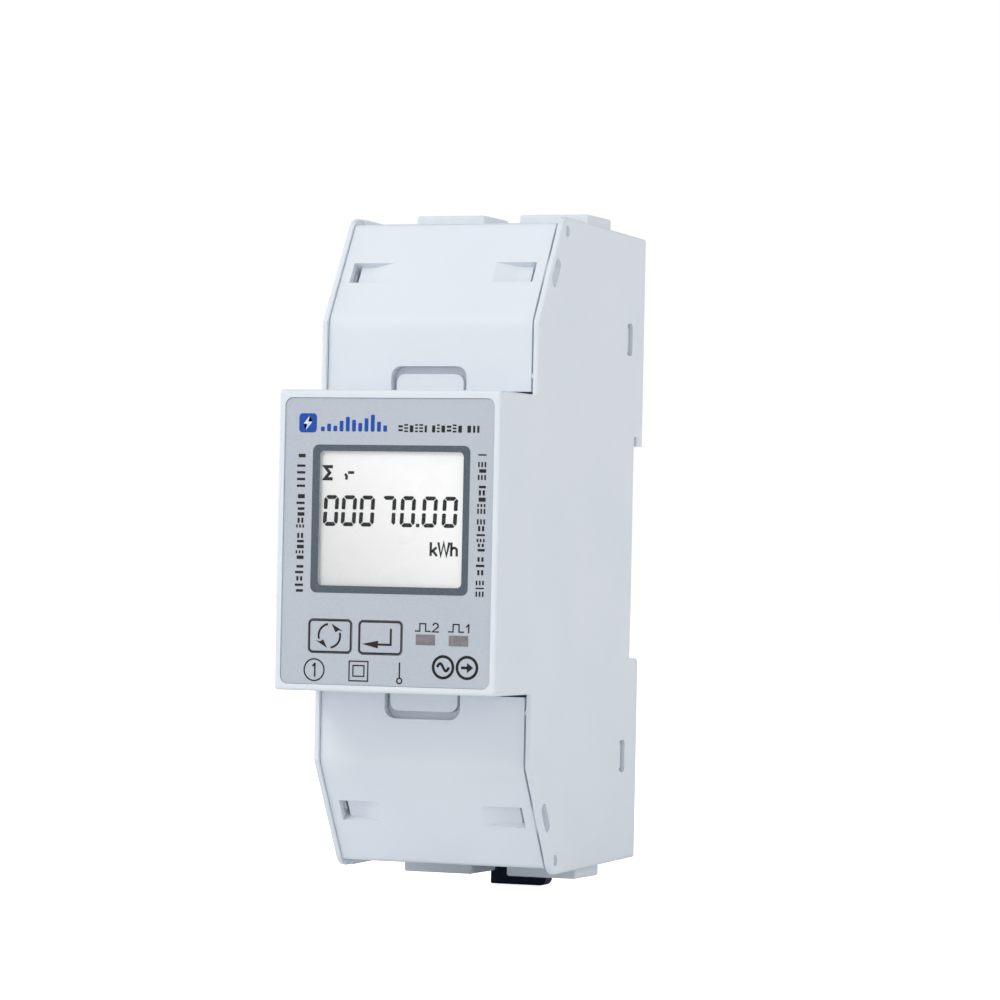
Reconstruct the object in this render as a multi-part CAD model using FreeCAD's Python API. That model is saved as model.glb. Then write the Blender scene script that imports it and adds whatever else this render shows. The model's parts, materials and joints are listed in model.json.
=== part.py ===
"""Two-module electricity meter for a 35 mm DIN rail, as an assembly of separate pieces.

Frame, in millimetres: X to the right, Y from the front to the rear, Z up. The origin is the centre of the
face that lies on the rail, so the front panel is at negative Y. Each piece is one file, parts/NODE.step.
"""

import FreeCAD, Part

import math
import os

Vector = FreeCAD.Vector
ORIGIN = Vector(0, 0, 0)
X_AXIS = Vector(1, 0, 0)
Z_AXIS = Vector(0, 0, 1)

# ---- driving dimensions: outer form --------------------------------------------------------------
WIDTH = 36.0  # two 18 mm modules
HEIGHT = 100.0
FRONT_Y = -59.1  # rim of the front panel
REAR_Y = 3.9  # rear plane, behind the rail face
SHOULDER_Y = -43.8  # front edge of the side walls beside the terminal covers
PANEL_TOP = 22.75  # half height of the raised front box
CREASE_Z = 33.9  # where the side wall starts to slope back
SLOPE_DEG = 31.5  # slope of the terminal covers from the vertical
WALL = 1.4
CLEAR = 0.1

HALF_W = WIDTH / 2
HALF_H = HEIGHT / 2
CORNER_Z = HALF_H + 0.8  # the side walls rise towards their front corners, above the hinges
SLOPE = math.radians(SLOPE_DEG)
CORNER_RADIUS = 3.0
INNER_X = HALF_W - WALL
INNER_Z = HALF_H - WALL
EDGE_RADIUS = 0.4

# ---- rail recess ---------------------------------------------------------------------------------
LIP_LOW = 16.4  # lower end of the fixed hook
LIP_ROOT = 17.9  # top of the slot behind the hook
LIP_FRONT = 1.3  # the slot takes the 1 mm rail
RECESS_LOW = -17.8
RECESS_RADIUS = 1.0
SEAT_HALF = 16.0  # the rail face proper, a step proud of the relief either side
SEAT_STEP = 0.2

# ---- terminal covers -----------------------------------------------------------------------------
COVER_THICK = 1.6
COVER_LOW = 23.25
COVER_INSET = 0.7  # vertical face behind the side walls' edge
SLOPE_INSET = 0.5
COVER_HALF = 16.83
COVER_MID = -0.24  # each cover's plate sits a little to the left
BAY_HALF = 17.15
COVER_TOP = 49.75
PIVOT_Y = -32.3
PIVOT_Z = 48.5
PIVOT_HOLE = 0.9
PIVOT_PIN = 0.85
PIVOT_END = 17.55
BARREL = COVER_TOP - PIVOT_Z
COVER_FACE_Y = SHOULDER_Y + COVER_INSET
COVER_CREASE_Z = CREASE_Z + (COVER_INSET - SLOPE_INSET / math.cos(SLOPE)) / math.tan(SLOPE)
COVER_CREASE_RADIUS = 4.5
NOTCH_HALF = 6.25
NOTCH_TOP = 27.1
NUB_Z = 25.6
NUB_RADIUS = 0.45

# ---- seal recess in each cover, in the cover's sloping plane ---------------------------------------
POCKET_IN = 8.55
POCKET_OUT = 15.25
POCKET_DEPTH = 1.2
SLIT_WIDTH = 0.9
POCKET_MID = 9.08  # from the crease, up the slope
POCKET_HALF = 1.86

# ---- terminals -----------------------------------------------------------------------------------
LANES = {"neutral": -7.8, "live": 9.8}
SCREW_Z = 35.5
DECK_FRONT = -34.5
DECK_REAR = -29.9
DECK_TOP = 41.0
UPPER_WALL_FRONT = -30.5
WELL_RADIUS = 3.8
WELL_FLOOR = -31.0
SCREW_HEAD = 3.5
SCREW_SHANK = 2.95
BUSBAR_FRONT = -17.5
BUSBAR_REAR = -15.7
BUSBAR_WIDTH = 7.0
BUSBAR_END = 41.3
CLAMP_HALF = 5.0
CLAMP_TALL = 11.0
CLAMP_FRONT = -22.9
CLAMP_REAR = -5.4
ENTRY_Y = -11.5
COLLAR_X = 11.7
COLLAR_Y = 10.6
COLLAR_TOP = 52.45
ENTRY_X = 8.6
ENTRY_LONG = 8.2
SMALL_PITCH = 3.5
SMALL_MID = 1.0
SMALL_ENTRY_Y = -27.0
SMALL_POLES = {"pulse": 4, "data": 3}

# ---- front panel ---------------------------------------------------------------------------------
LABEL_FLOOR = -58.6
LABEL_FRONT = -58.9
LABEL_HALF_X = 17.0
LABEL_HALF_Z = 21.6
PANEL_REAR = -57.3
DISPLAY = (0.5, 3.3, 23.4, 20.3)  # centre x, centre z, width, height of the clear window
KEYS = {"scroll": (-8.97, -14.42), "enter": (-0.74, -14.47)}
KEY_SIZE = (7.05, 5.0)
KEY_GAP = 0.12
LIGHTS = ((6.57, -14.62), (11.9, -14.66))
LIGHT_SIZE = (3.1, 1.55)

# ---- boards and clip -----------------------------------------------------------------------------
DISPLAY_BOARD = (-50.2, -48.6)
POWER_BOARD = (-24.0, -22.4)
CLIP_HALF = 4.8
CLIP_MID = -0.25
CLIP_Y = (-0.8, 2.7)
CLIP_LOW = -55.0
CLIP_NOSE_TOP = -16.2
CHANNEL_HALF = CLIP_HALF + 0.2
CHANNEL_FLOOR = -1.0
CHANNEL_LIP = 3.8


# ---- helpers -------------------------------------------------------------------------------------
def box(x, y, z):
    """Block from three (low, high) pairs."""
    return Part.makeBox(x[1] - x[0], y[1] - y[0], z[1] - z[0], Vector(x[0], y[0], z[0]))


def rod_x(x, y, z, radius):
    return Part.makeCylinder(radius, x[1] - x[0], Vector(x[0], y, z), X_AXIS)


def rod_y(x, y, z, radius):
    return Part.makeCylinder(radius, y[1] - y[0], Vector(x, y[0], z), Vector(0, 1, 0))


def rod_z(x, y, z, radius):
    return Part.makeCylinder(radius, z[1] - z[0], Vector(x, y, z[0]), Z_AXIS)


def fuse(shapes):
    shapes = list(shapes)
    if len(shapes) == 1:
        return shapes[0]
    return shapes[0].multiFuse(shapes[1:]).removeSplitter()


def below(shape):
    """The same piece for the lower half of the meter."""
    return shape.mirror(ORIGIN, Z_AXIS)


def both(shape):
    return [shape, below(shape)]


def outline(corners, place):
    """Closed wire through (u, v, radius) corners, each rounded with a tangent arc."""
    points = [Vector(c[0], c[1], 0) for c in corners]
    count = len(points)
    edges = []
    ends = []
    for i in range(count):
        here = points[i]
        back = (points[i - 1] - here).normalize()
        ahead = (points[(i + 1) % count] - here).normalize()
        radius = corners[i][2] if len(corners[i]) > 2 else 0
        if radius:
            half = back.getAngle(ahead) / 2
            reach = radius / math.tan(half)
            start = here + back * reach
            end = here + ahead * reach
            middle = here + (back + ahead).normalize() * (radius / math.sin(half) - radius)
            edges.append((start, middle, end))
            ends.append((start, end))
        else:
            edges.append(None)
            ends.append((here, here))
    made = []
    for i in range(count):
        if edges[i]:
            start, middle, end = (place(p) for p in edges[i])
            made.append(Part.Arc(start, middle, end).toShape())
        leave = ends[i][1]
        arrive = ends[(i + 1) % count][0]
        if leave.distanceToPoint(arrive) > 1e-6:
            made.append(Part.LineSegment(place(leave), place(arrive)).toShape())
    return Part.Wire(made)


def slab_x(corners, x):
    """Outline in (y, z), extruded between two x."""
    wire = outline(corners, lambda p: Vector(x[0], p.x, p.y))
    return Part.Face(wire).extrude(Vector(x[1] - x[0], 0, 0))


def slab_y(corners, y):
    """Outline in (x, z), extruded between two y."""
    wire = outline(corners, lambda p: Vector(p.x, y[0], p.y))
    return Part.Face(wire).extrude(Vector(0, y[1] - y[0], 0))


def slab_z(corners, z):
    """Outline in (x, y), extruded between two z."""
    wire = outline(corners, lambda p: Vector(p.x, p.y, z[0]))
    return Part.Face(wire).extrude(Vector(0, 0, z[1] - z[0]))


def rectangle(mid_u, mid_v, width, height, radius=0.0):
    half_w, half_h = width / 2, height / 2
    return [
        (mid_u - half_w, mid_v - half_h, radius),
        (mid_u + half_w, mid_v - half_h, radius),
        (mid_u + half_w, mid_v + half_h, radius),
        (mid_u - half_w, mid_v + half_h, radius),
    ]


def soften(shape, radius, chosen):
    """Fillets the edges that chosen() accepts, by each edge's bounding box."""
    edges = [e for e in shape.Edges if chosen(e.BoundBox)]
    return shape.makeFillet(radius, edges)


def near(value, target):
    return abs(value - target) < 1e-3


def slope_y(z, inset):
    """Y of a plane parallel to the sloping edge of the side walls, inset behind it."""
    return SHOULDER_Y + (z - CREASE_Z) * math.tan(SLOPE) + inset / math.cos(SLOPE)


def on_slope(shape):
    """Takes a piece made with x across, y into the cover and z up the slope to the upper cover's slope."""
    shape = shape.copy()
    shape.rotate(ORIGIN, X_AXIS, -SLOPE_DEG)
    shape.translate(Vector(0, COVER_FACE_Y, COVER_CREASE_Z))
    return shape


def across_clip(half):
    """Span in x, centred on the rail clip."""
    return (CLIP_MID - half, CLIP_MID + half)


def on_cover(side, *distances):
    """Span in x between two distances from the middle of the cover's plate, on one side of it."""
    return sorted(COVER_MID + side * distance for distance in distances)


def small_poles(name):
    """X of each pole of a small terminal block."""
    count = SMALL_POLES[name]
    return [SMALL_MID + (i - (count - 1) / 2) * SMALL_PITCH for i in range(count)]


# ---- housing -------------------------------------------------------------------------------------
def side_profile():
    """Outline of the side walls, in (y, z)."""
    corner_y = slope_y(CORNER_Z, 0)
    return [
        (FRONT_Y, -PANEL_TOP, 0.5),
        (FRONT_Y, PANEL_TOP, 0.5),
        (SHOULDER_Y, PANEL_TOP),
        (SHOULDER_Y, CREASE_Z),
        (corner_y, CORNER_Z, CORNER_RADIUS),
        (REAR_Y, HALF_H),
        (REAR_Y, LIP_LOW),
        (LIP_FRONT, LIP_LOW),
        (LIP_FRONT, LIP_ROOT),
        (0, LIP_ROOT),
        (0, RECESS_LOW),
        (REAR_Y, RECESS_LOW, RECESS_RADIUS),
        (REAR_Y, -HALF_H),
        (corner_y, -CORNER_Z, CORNER_RADIUS),
        (SHOULDER_Y, -CREASE_Z),
        (SHOULDER_Y, -PANEL_TOP),
    ]


def cover_bay():
    """Space taken out of the upper front: wide for the cover, narrower for the terminals behind it."""
    front = FRONT_Y - 1
    top = HALF_H + 4
    deep = [
        (front, PANEL_TOP),
        (DECK_FRONT, PANEL_TOP),
        (DECK_FRONT, DECK_TOP),
        (UPPER_WALL_FRONT, DECK_TOP),
        (UPPER_WALL_FRONT, top),
        (front, top),
    ]
    behind = COVER_THICK + 0.15
    turn_z = COVER_CREASE_Z - behind * math.tan(SLOPE / 2)
    hinge_z = PIVOT_Z - BARREL - 0.4
    wide = [
        (front, PANEL_TOP),
        (COVER_FACE_Y + behind, PANEL_TOP),
        (COVER_FACE_Y + behind, turn_z),
        (slope_y(hinge_z, SLOPE_INSET + behind), hinge_z),
        (UPPER_WALL_FRONT, hinge_z),
        (UPPER_WALL_FRONT, top),
        (front, top),
    ]
    return fuse([slab_x(deep, (-INNER_X, INNER_X)), slab_x(wide, (-BAY_HALF, BAY_HALF))])


def finger_tab():
    """Pad on the deck that stands in the upper cover's finger notch, on its backing plate."""
    top = 25.9
    pad = slab_y(rectangle(-0.2, top - 2, 11.1, 4, 1.4), (COVER_FACE_Y + 0.5, -41.3))
    plate = slab_y(rectangle(0, 28.2 - 3.6, 14.4, 7.2, 1.0), (-41.3, -40.1))
    above_deck = box((-HALF_W, HALF_W), (SHOULDER_Y, -39), (PANEL_TOP - 0.5, 30))
    return fuse([pad, plate]).common(above_deck)


def wire_collar(lane_x):
    """Raised frame round a main wire entry, on the top."""
    outer = box(
        (lane_x - COLLAR_X / 2, lane_x + COLLAR_X / 2),
        (ENTRY_Y - COLLAR_Y / 2, ENTRY_Y + COLLAR_Y / 2),
        (HALF_H - 1, COLLAR_TOP),
    )
    return soften(outer, EDGE_RADIUS, lambda b: b.ZMax > HALF_H + 1)


def wire_entry(lane_x):
    return slab_z(rectangle(lane_x, ENTRY_Y, ENTRY_X, ENTRY_LONG, 1.5), (HALF_H - 3, COLLAR_TOP + 1))


def screw_well(lane_x):
    """Recess that keeps fingers off a main terminal screw, with a bevelled mouth."""
    mouth = Part.makeCone(
        WELL_RADIUS + 0.6, WELL_RADIUS, 0.6, Vector(lane_x, DECK_FRONT, SCREW_Z), Vector(0, 1, 0)
    )
    well = rod_y(lane_x, (DECK_FRONT - 0.1, WELL_FLOOR), SCREW_Z, WELL_RADIUS)
    shank = rod_y(lane_x, (WELL_FLOOR - 0.1, DECK_REAR + 0.1), SCREW_Z, SCREW_SHANK + 0.25)
    return [mouth, well, shank]


def seal_slot(x):
    """Slanted slot in a side wall, in line with the seal recess of the cover."""
    length, width, depth_mid, mid = 4.5, 1.9, 1.35, 9.86
    slot = slab_x(rectangle(depth_mid, mid, width, length, 0.8), x)
    flare = slab_x(rectangle(depth_mid, mid, width + 0.2, length + 0.3, 0.9), (HALF_W - 0.3, HALF_W + 1))
    flares = [flare, flare.mirror(ORIGIN, X_AXIS)]
    return on_slope(fuse([slot] + flares))


def clamp_guides():
    """Ribs behind the deck that keep the upper clamps straight as they travel."""
    depth = (DECK_REAR - 0.5, -6.2)
    tall = (30.0, DECK_TOP)
    spans = ((-14.1, -13.0), (-2.6, -1.5), (3.5, 4.6), (15.0, INNER_X + 0.2))
    return [box(span, depth, tall) for span in spans]


def board_posts():
    return [(x, z) for x in (-14.4, 15.0) for z in (18.4, -18.9)]


def housing_shell():
    body = slab_x(side_profile(), (-HALF_W, HALF_W))
    body = soften(
        body,
        EDGE_RADIUS,
        lambda b: near(b.XMin, b.XMax) and b.YMin < -0.1 and (b.YMax < REAR_Y - 0.1 or b.ZLength < 2),
    )
    for side in (-1, 1):
        z = sorted((side * HALF_H, side * (CORNER_Z + 1)))
        body = body.cut(box((-INNER_X, INNER_X), (SHOULDER_Y, REAR_Y + 1), z))
    inside = [
        box((-INNER_X, INNER_X), (PANEL_REAR, REAR_Y + 1), (-PANEL_TOP + WALL, PANEL_TOP - WALL)),
        box((-INNER_X, INNER_X), (DECK_REAR, REAR_Y + 1), (-DECK_TOP - 0.15, DECK_TOP + 0.15)),
        box((-INNER_X, INNER_X), (UPPER_WALL_FRONT + 1.5, REAR_Y + 1), (-INNER_Z, INNER_Z)),
    ]
    body = body.cut(fuse(inside)).cut(fuse(both(cover_bay())))
    collars = [wire_collar(x) for x in LANES.values()]
    extras = [part for piece in collars + clamp_guides() + [finger_tab()] for part in both(piece)]
    for x, z in board_posts():
        extras.append(rod_y(x, (PANEL_REAR - 0.3, DISPLAY_BOARD[0]), z, 1.5))
    body = fuse([body] + extras)
    cuts = []
    for lane_x in LANES.values():
        cuts += [part for piece in [wire_entry(lane_x)] + screw_well(lane_x) for part in both(piece)]
    for name, side in (("pulse", lambda s: s), ("data", below)):
        poles = small_poles(name)
        half = len(poles) * SMALL_PITCH / 2 + CLEAR
        window = box(
            (SMALL_MID - half, SMALL_MID + half), (UPPER_WALL_FRONT - 0.1, DECK_REAR + 1.5), (41.1, 48.3)
        )
        cuts.append(side(window))
        cuts += [side(rod_z(x, SMALL_ENTRY_Y, (INNER_Z - 0.1, HALF_H + 0.1), 1.3)) for x in poles]
    through = (-HALF_W - 1, HALF_W + 1)
    cuts += both(rod_x(through, PIVOT_Y, PIVOT_Z, PIVOT_HOLE))
    cuts += both(seal_slot(through))
    cuts += both(slab_x(rectangle(-2.8, 33.4, 2.6, 5.2, 0.9), through))
    cuts.append(box(across_clip(CHANNEL_HALF + CLEAR), (-2.0, REAR_Y + 1), (-HALF_H - 1, -INNER_Z + 1)))
    cuts += front_openings()
    cuts += [rod_y(x, (PANEL_REAR + 1.5, DISPLAY_BOARD[0] + 0.1), z, 0.85) for x, z in board_posts()]
    return body.cut(fuse(cuts))


def front_openings():
    """Recess for the label and the openings behind it."""
    wide, tall = LABEL_HALF_X * 2 + 0.1, LABEL_HALF_Z * 2 + 0.1
    cuts = [slab_y(rectangle(0, -0.1, wide, tall, 1.2), (FRONT_Y - 1, LABEL_FLOOR))]
    depth = (LABEL_FLOOR - 0.1, PANEL_REAR + 0.1)
    x, z, width, height = DISPLAY
    cuts.append(slab_y(rectangle(x, z, width + 1.0, height + 1.0, 0.6), depth))
    for x, z in KEYS.values():
        cuts.append(slab_y(rectangle(x, z, KEY_SIZE[0] + 2 * KEY_GAP, KEY_SIZE[1] + 2 * KEY_GAP, 0.8), depth))
    for x, z in LIGHTS:
        cuts.append(slab_y(rectangle(x, z, LIGHT_SIZE[0] + CLEAR, LIGHT_SIZE[1] + CLEAR), depth))
    return cuts


# ---- rear base and rail clip -----------------------------------------------------------------------
def rear_base():
    half = INNER_X - CLEAR
    top = INNER_Z - CLEAR
    skin = 1.6
    x = (-half, half)
    pieces = [
        box(x, (REAR_Y - skin, REAR_Y), (LIP_LOW, top)),
        box(x, (REAR_Y - skin, REAR_Y), (-top, RECESS_LOW)),
        box(x, (LIP_FRONT, REAR_Y), (LIP_LOW, LIP_ROOT + skin)),
        box(x, (-skin, REAR_Y), (LIP_ROOT, LIP_ROOT + skin)),
        box(x, (-skin, REAR_Y), (RECESS_LOW - skin, RECESS_LOW)),
        box(x, (-skin, -SEAT_STEP), (RECESS_LOW, LIP_ROOT)),
        box(x, (-skin, 0), (-SEAT_HALF, SEAT_HALF)),
    ]
    for side in (-1, 1):
        span = sorted((side * half, side * (half - 1.2)))
        tab = sorted((side * (half - 0.2), side * (INNER_X + 0.8)))
        for piece in (box(span, (-6.0, REAR_Y), (LIP_ROOT, top)), box(tab, (-3.8, -1.8), (31.4, 35.4))):
            pieces += both(piece)
    pieces += both(box(x, (-4.0, REAR_Y), (top - 1.2, top)))
    for lane_x in LANES.values():
        post = box((lane_x - 2.5, lane_x + 2.5), (BUSBAR_REAR, -skin + 0.1), (13.0, 17.0))
        pieces += both(post)
    pieces.append(
        box(across_clip(CHANNEL_HALF + 1.2), (CHANNEL_FLOOR - 1.0, REAR_Y), (-top, RECESS_LOW - skin + 0.1))
    )
    body = fuse(pieces)
    corner = REAR_Y - RECESS_RADIUS
    round_over = box((-half, half), (corner, REAR_Y + 0.1), (RECESS_LOW - RECESS_RADIUS, RECESS_LOW + 0.1))
    round_over = round_over.cut(rod_x(x, corner, RECESS_LOW - RECESS_RADIUS, RECESS_RADIUS))
    lip_y = (CLIP_Y[1] + 0.2, REAR_Y + 1)
    slide_way = [
        box(across_clip(CHANNEL_HALF), (CHANNEL_FLOOR, lip_y[0]), (-HALF_H, RECESS_LOW + 0.1)),
        box(across_clip(CHANNEL_LIP), (CHANNEL_FLOOR, lip_y[1]), (-HALF_H, RECESS_LOW + 0.1)),
    ]
    peg = box((-1.8, 1.8), (CHANNEL_FLOOR - 0.1, 2.2), (-41.8, -40.3))
    return fuse([body.cut(fuse([round_over] + slide_way)), peg])


def rail_clip():
    left, right = across_clip(CLIP_HALF)
    plate = slab_y(
        [
            (left, RECESS_LOW - 0.2),
            (left, CLIP_LOW, 0.3),
            (right, CLIP_LOW, 1.1),
            (right, RECESS_LOW - 0.2),
        ],
        CLIP_Y,
    )
    nose = slab_x(
        [
            (1.2, RECESS_LOW - 0.5),
            (1.2, CLIP_NOSE_TOP, 0.15),
            (1.7, CLIP_NOSE_TOP, 0.15),
            (CLIP_Y[1], RECESS_LOW + 0.2),
            (CLIP_Y[1], RECESS_LOW - 0.5),
        ],
        (left, right),
    )
    window = box((-2.2, 2.2), (CLIP_Y[0] - 1, CLIP_Y[1] + 1), (-42.2, -31.0))
    grips = [box((-2.8, 2.8), (1.4, CLIP_Y[1] + 1), (z - 0.6, z + 0.6)) for z in (-53.3, -51.1)]
    body = fuse([plate, nose])
    body = soften(body, 0.4, lambda b: b.ZMax < -HALF_H - 1 and near(b.YMin, b.YMax))
    return body.cut(fuse([window] + grips))


def clip_spring():
    """Coil between the base's peg and the top of the clip's window."""
    wire, radius, low, high = 0.25, 1.2, -40.3, -31.0
    turns = 7
    rise = high - low - 2 * wire - 0.1
    helix = Part.makeHelix(rise / turns, rise, radius)
    start = Part.Wire(Part.makeCircle(wire, Vector(radius, 0, 0), Vector(0, 1, 0)))
    coil = Part.Wire(helix).makePipeShell([start], True, True)
    coil.translate(Vector(0, 0.95, low + wire + 0.05))
    return coil


# ---- terminal covers -------------------------------------------------------------------------------
def terminal_cover():
    """Upper cover: front plate, slope, hinge barrel with its pins, seal recesses, finger notch and nubs."""
    inner = COVER_THICK
    top_y = slope_y(COVER_TOP, SLOPE_INSET)
    inner_top = PIVOT_Z
    profile = [
        (COVER_FACE_Y, COVER_LOW),
        (COVER_FACE_Y, COVER_CREASE_Z, COVER_CREASE_RADIUS),
        (top_y, COVER_TOP, 1.0),
        (PIVOT_Y, COVER_TOP),
        (PIVOT_Y, inner_top),
        (slope_y(inner_top, SLOPE_INSET + inner), inner_top),
        (
            COVER_FACE_Y + inner,
            COVER_CREASE_Z - inner * math.tan(SLOPE / 2),
            COVER_CREASE_RADIUS - inner,
        ),
        (COVER_FACE_Y + inner, COVER_LOW),
    ]
    plate = slab_x(profile, on_cover(1, -COVER_HALF, COVER_HALF))
    barrel = rod_x((CLEAR - BAY_HALF, BAY_HALF - CLEAR), PIVOT_Y, PIVOT_Z, BARREL)
    pins = rod_x((-PIVOT_END, PIVOT_END), PIVOT_Y, PIVOT_Z, PIVOT_PIN)
    adds = [plate, barrel, pins]
    cuts = []
    for side in (-1, 1):
        adds.append(seal_box(side))
        cuts.append(seal_recess(side))
        cuts.append(seal_eye(side))
        nub_x = sorted((on_cover(side, COVER_HALF - 0.2)[0], side * (BAY_HALF - 0.05)))
        adds.append(rod_x(nub_x, COVER_FACE_Y + NUB_RADIUS + 0.1, NUB_Z, NUB_RADIUS))
    notch = slab_y(
        [
            (COVER_MID - NOTCH_HALF, COVER_LOW - 2),
            (COVER_MID - NOTCH_HALF, NOTCH_TOP, 1.7),
            (COVER_MID + NOTCH_HALF, NOTCH_TOP, 1.7),
            (COVER_MID + NOTCH_HALF, COVER_LOW - 2),
        ],
        (SHOULDER_Y - 1, -41.0),
    )
    cuts.append(notch)
    return fuse(adds).cut(fuse(cuts))


def seal_box(side):
    """Material behind a seal recess."""
    x = on_cover(side, POCKET_IN + 0.9, POCKET_OUT + 0.8)
    reach = POCKET_HALF + 0.9
    return on_slope(box(x, (0.8, POCKET_DEPTH + 1.8), (POCKET_MID - reach, POCKET_MID + reach)))


def seal_recess(side):
    """Ramp down to a flat floor, and the slit at its outer end for the seal wire."""
    inner, ramp_end, outer = (COVER_MID + side * x for x in (POCKET_IN, 12.3, POCKET_OUT))
    profile = [(inner, -1.0), (inner, 0.0), (ramp_end, POCKET_DEPTH, 4.0), (outer, POCKET_DEPTH), (outer, -1.0)]
    ramp = slab_z(profile, (POCKET_MID - POCKET_HALF, POCKET_MID + POCKET_HALF))
    slit_x = sorted((outer, outer - side * SLIT_WIDTH))
    slit = box(slit_x, (0, POCKET_DEPTH + 3), (POCKET_MID - POCKET_HALF, POCKET_MID + POCKET_HALF))
    return on_slope(fuse([ramp, slit]))


def seal_eye(side):
    """Hole through the outer end of a seal recess, towards the slot in the side wall."""
    x = on_cover(side, POCKET_OUT - 0.2, COVER_HALF + 1)
    return on_slope(box(x, (1.0, POCKET_DEPTH + 1.0), (POCKET_MID - 1.2, POCKET_MID + 1.2)))


# ---- main terminals --------------------------------------------------------------------------------
def main_screw(lane_x):
    """Upper screw: slotted cross-recess head at the front and a shank down to the busbar."""
    head_front = WELL_FLOOR - 0.05 - 2.7
    head = rod_y(lane_x, (head_front, WELL_FLOOR - 0.05), SCREW_Z, SCREW_HEAD)
    head = soften(head, 0.5, lambda b: near(b.YMin, head_front) and near(b.YMax, head_front))
    shank = rod_y(lane_x, (WELL_FLOOR - 0.2, BUSBAR_FRONT - 0.1), SCREW_Z, SCREW_SHANK)
    tip_y = BUSBAR_FRONT - 0.1
    shank = shank.makeChamfer(0.6, [e for e in shank.Edges if near(e.BoundBox.YMin, tip_y)])
    depth = (head_front - 1, head_front + 1.4)
    slot = box((lane_x - 5, lane_x + 5), depth, (SCREW_Z - 0.55, SCREW_Z + 0.55))
    cross = box((lane_x - 0.5, lane_x + 0.5), (depth[0], head_front + 1.8), (SCREW_Z - 2, SCREW_Z + 2))
    return fuse([head, shank]).cut(fuse([slot, cross]))


def main_clamp(lane_x):
    """Upper cage clamp, open: a steel frame round the wire and the busbar, threaded on the screw."""
    tall = (SCREW_Z - CLAMP_TALL / 2, SCREW_Z + CLAMP_TALL / 2)
    frame = slab_z(
        [
            (lane_x - CLAMP_HALF, CLAMP_FRONT, 0.6),
            (lane_x + CLAMP_HALF, CLAMP_FRONT, 0.6),
            (lane_x + CLAMP_HALF, CLAMP_REAR, 1.2),
            (lane_x - CLAMP_HALF, CLAMP_REAR, 1.2),
        ],
        tall,
    )
    mouth = slab_z(
        rectangle(lane_x, (-20.3 - 7.2) / 2, CLAMP_HALF * 2 - 2.4, 13.1, 0.5), (tall[0] - 1, tall[1] + 1)
    )
    hole = rod_y(lane_x, (CLAMP_FRONT - 1, -20.0), SCREW_Z, SCREW_SHANK + 0.05)
    ribs = []
    for step in range(-2, 3):
        rib_z = SCREW_Z + step * 1.8
        ribs.append(box((lane_x - 3.4, lane_x + 3.4), (-7.5, -7.0), (rib_z - 0.3, rib_z + 0.3)))
    return fuse([frame.cut(mouth)] + ribs).cut(hole)


def busbar(lane_x, z):
    bar = box((lane_x - BUSBAR_WIDTH / 2, lane_x + BUSBAR_WIDTH / 2), (BUSBAR_FRONT, BUSBAR_REAR), z)
    return bar


def live_bar():
    """Upper half of the live busbar, from the shunt to the upper terminal."""
    return soften(
        busbar(LANES["live"], (8.0, BUSBAR_END)), 0.6, lambda b: near(b.ZMin, BUSBAR_END) and b.YLength > 1
    )


def neutral_bar():
    return soften(
        busbar(LANES["neutral"], (-BUSBAR_END, BUSBAR_END)),
        0.6,
        lambda b: near(abs(b.ZMin), BUSBAR_END) and near(b.ZMin, b.ZMax) and b.YLength > 1,
    )


def current_shunt():
    """Resistance strip brazed between the live bars, waisted in the middle."""
    lane_x = LANES["live"]
    strip = busbar(lane_x, (-8.0, 8.0))
    waists = [rod_y(lane_x + side * 5.0, (BUSBAR_FRONT - 1, BUSBAR_REAR + 1), 0, 2.4) for side in (-1, 1)]
    return strip.cut(fuse(waists))


def tap_pins():
    """Pins from the shunt's ends and the neutral bar through the power board."""
    return leads("taps", POWER_BOARD[0] - 0.8, BUSBAR_FRONT)


# ---- small terminals -------------------------------------------------------------------------------
SMALL_BLOCK_Y = (-30.9, POWER_BOARD[0])
SMALL_BLOCK_Z = (41.2, 48.2)
SMALL_SCREW_Z = 44.7


def small_block(name):
    """Terminal block for thin wires: screws at the front, wires from the top."""
    poles = small_poles(name)
    half = len(poles) * SMALL_PITCH / 2
    body = box((SMALL_MID - half, SMALL_MID + half), SMALL_BLOCK_Y, SMALL_BLOCK_Z)
    cuts = []
    for x in poles:
        cuts.append(rod_y(x, (SMALL_BLOCK_Y[0] - 1, -29.3), SMALL_SCREW_Z, 1.35))
        cuts.append(rod_y(x, (-29.4, -25.4), SMALL_SCREW_Z, 0.85))
        cuts.append(rod_z(x, SMALL_ENTRY_Y, (SMALL_SCREW_Z + 1.2, SMALL_BLOCK_Z[1] + 1), 1.15))
    for x in [x + SMALL_PITCH / 2 for x in poles[:-1]]:
        cuts.append(box((x - 0.2, x + 0.2), (SMALL_BLOCK_Y[0] - 1, SMALL_BLOCK_Y[0] + 0.4), (40, 50)))
    return body.cut(fuse(cuts))


def small_screw(x):
    head = rod_y(x, (-30.6, -29.35), SMALL_SCREW_Z, 1.25)
    shank = rod_y(x, (-29.5, -25.6), SMALL_SCREW_Z, 0.75)
    slot = box((x - 2, x + 2), (-31, -30.1), (SMALL_SCREW_Z - 0.25, SMALL_SCREW_Z + 0.25))
    return fuse([head, shank]).cut(slot)


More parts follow.
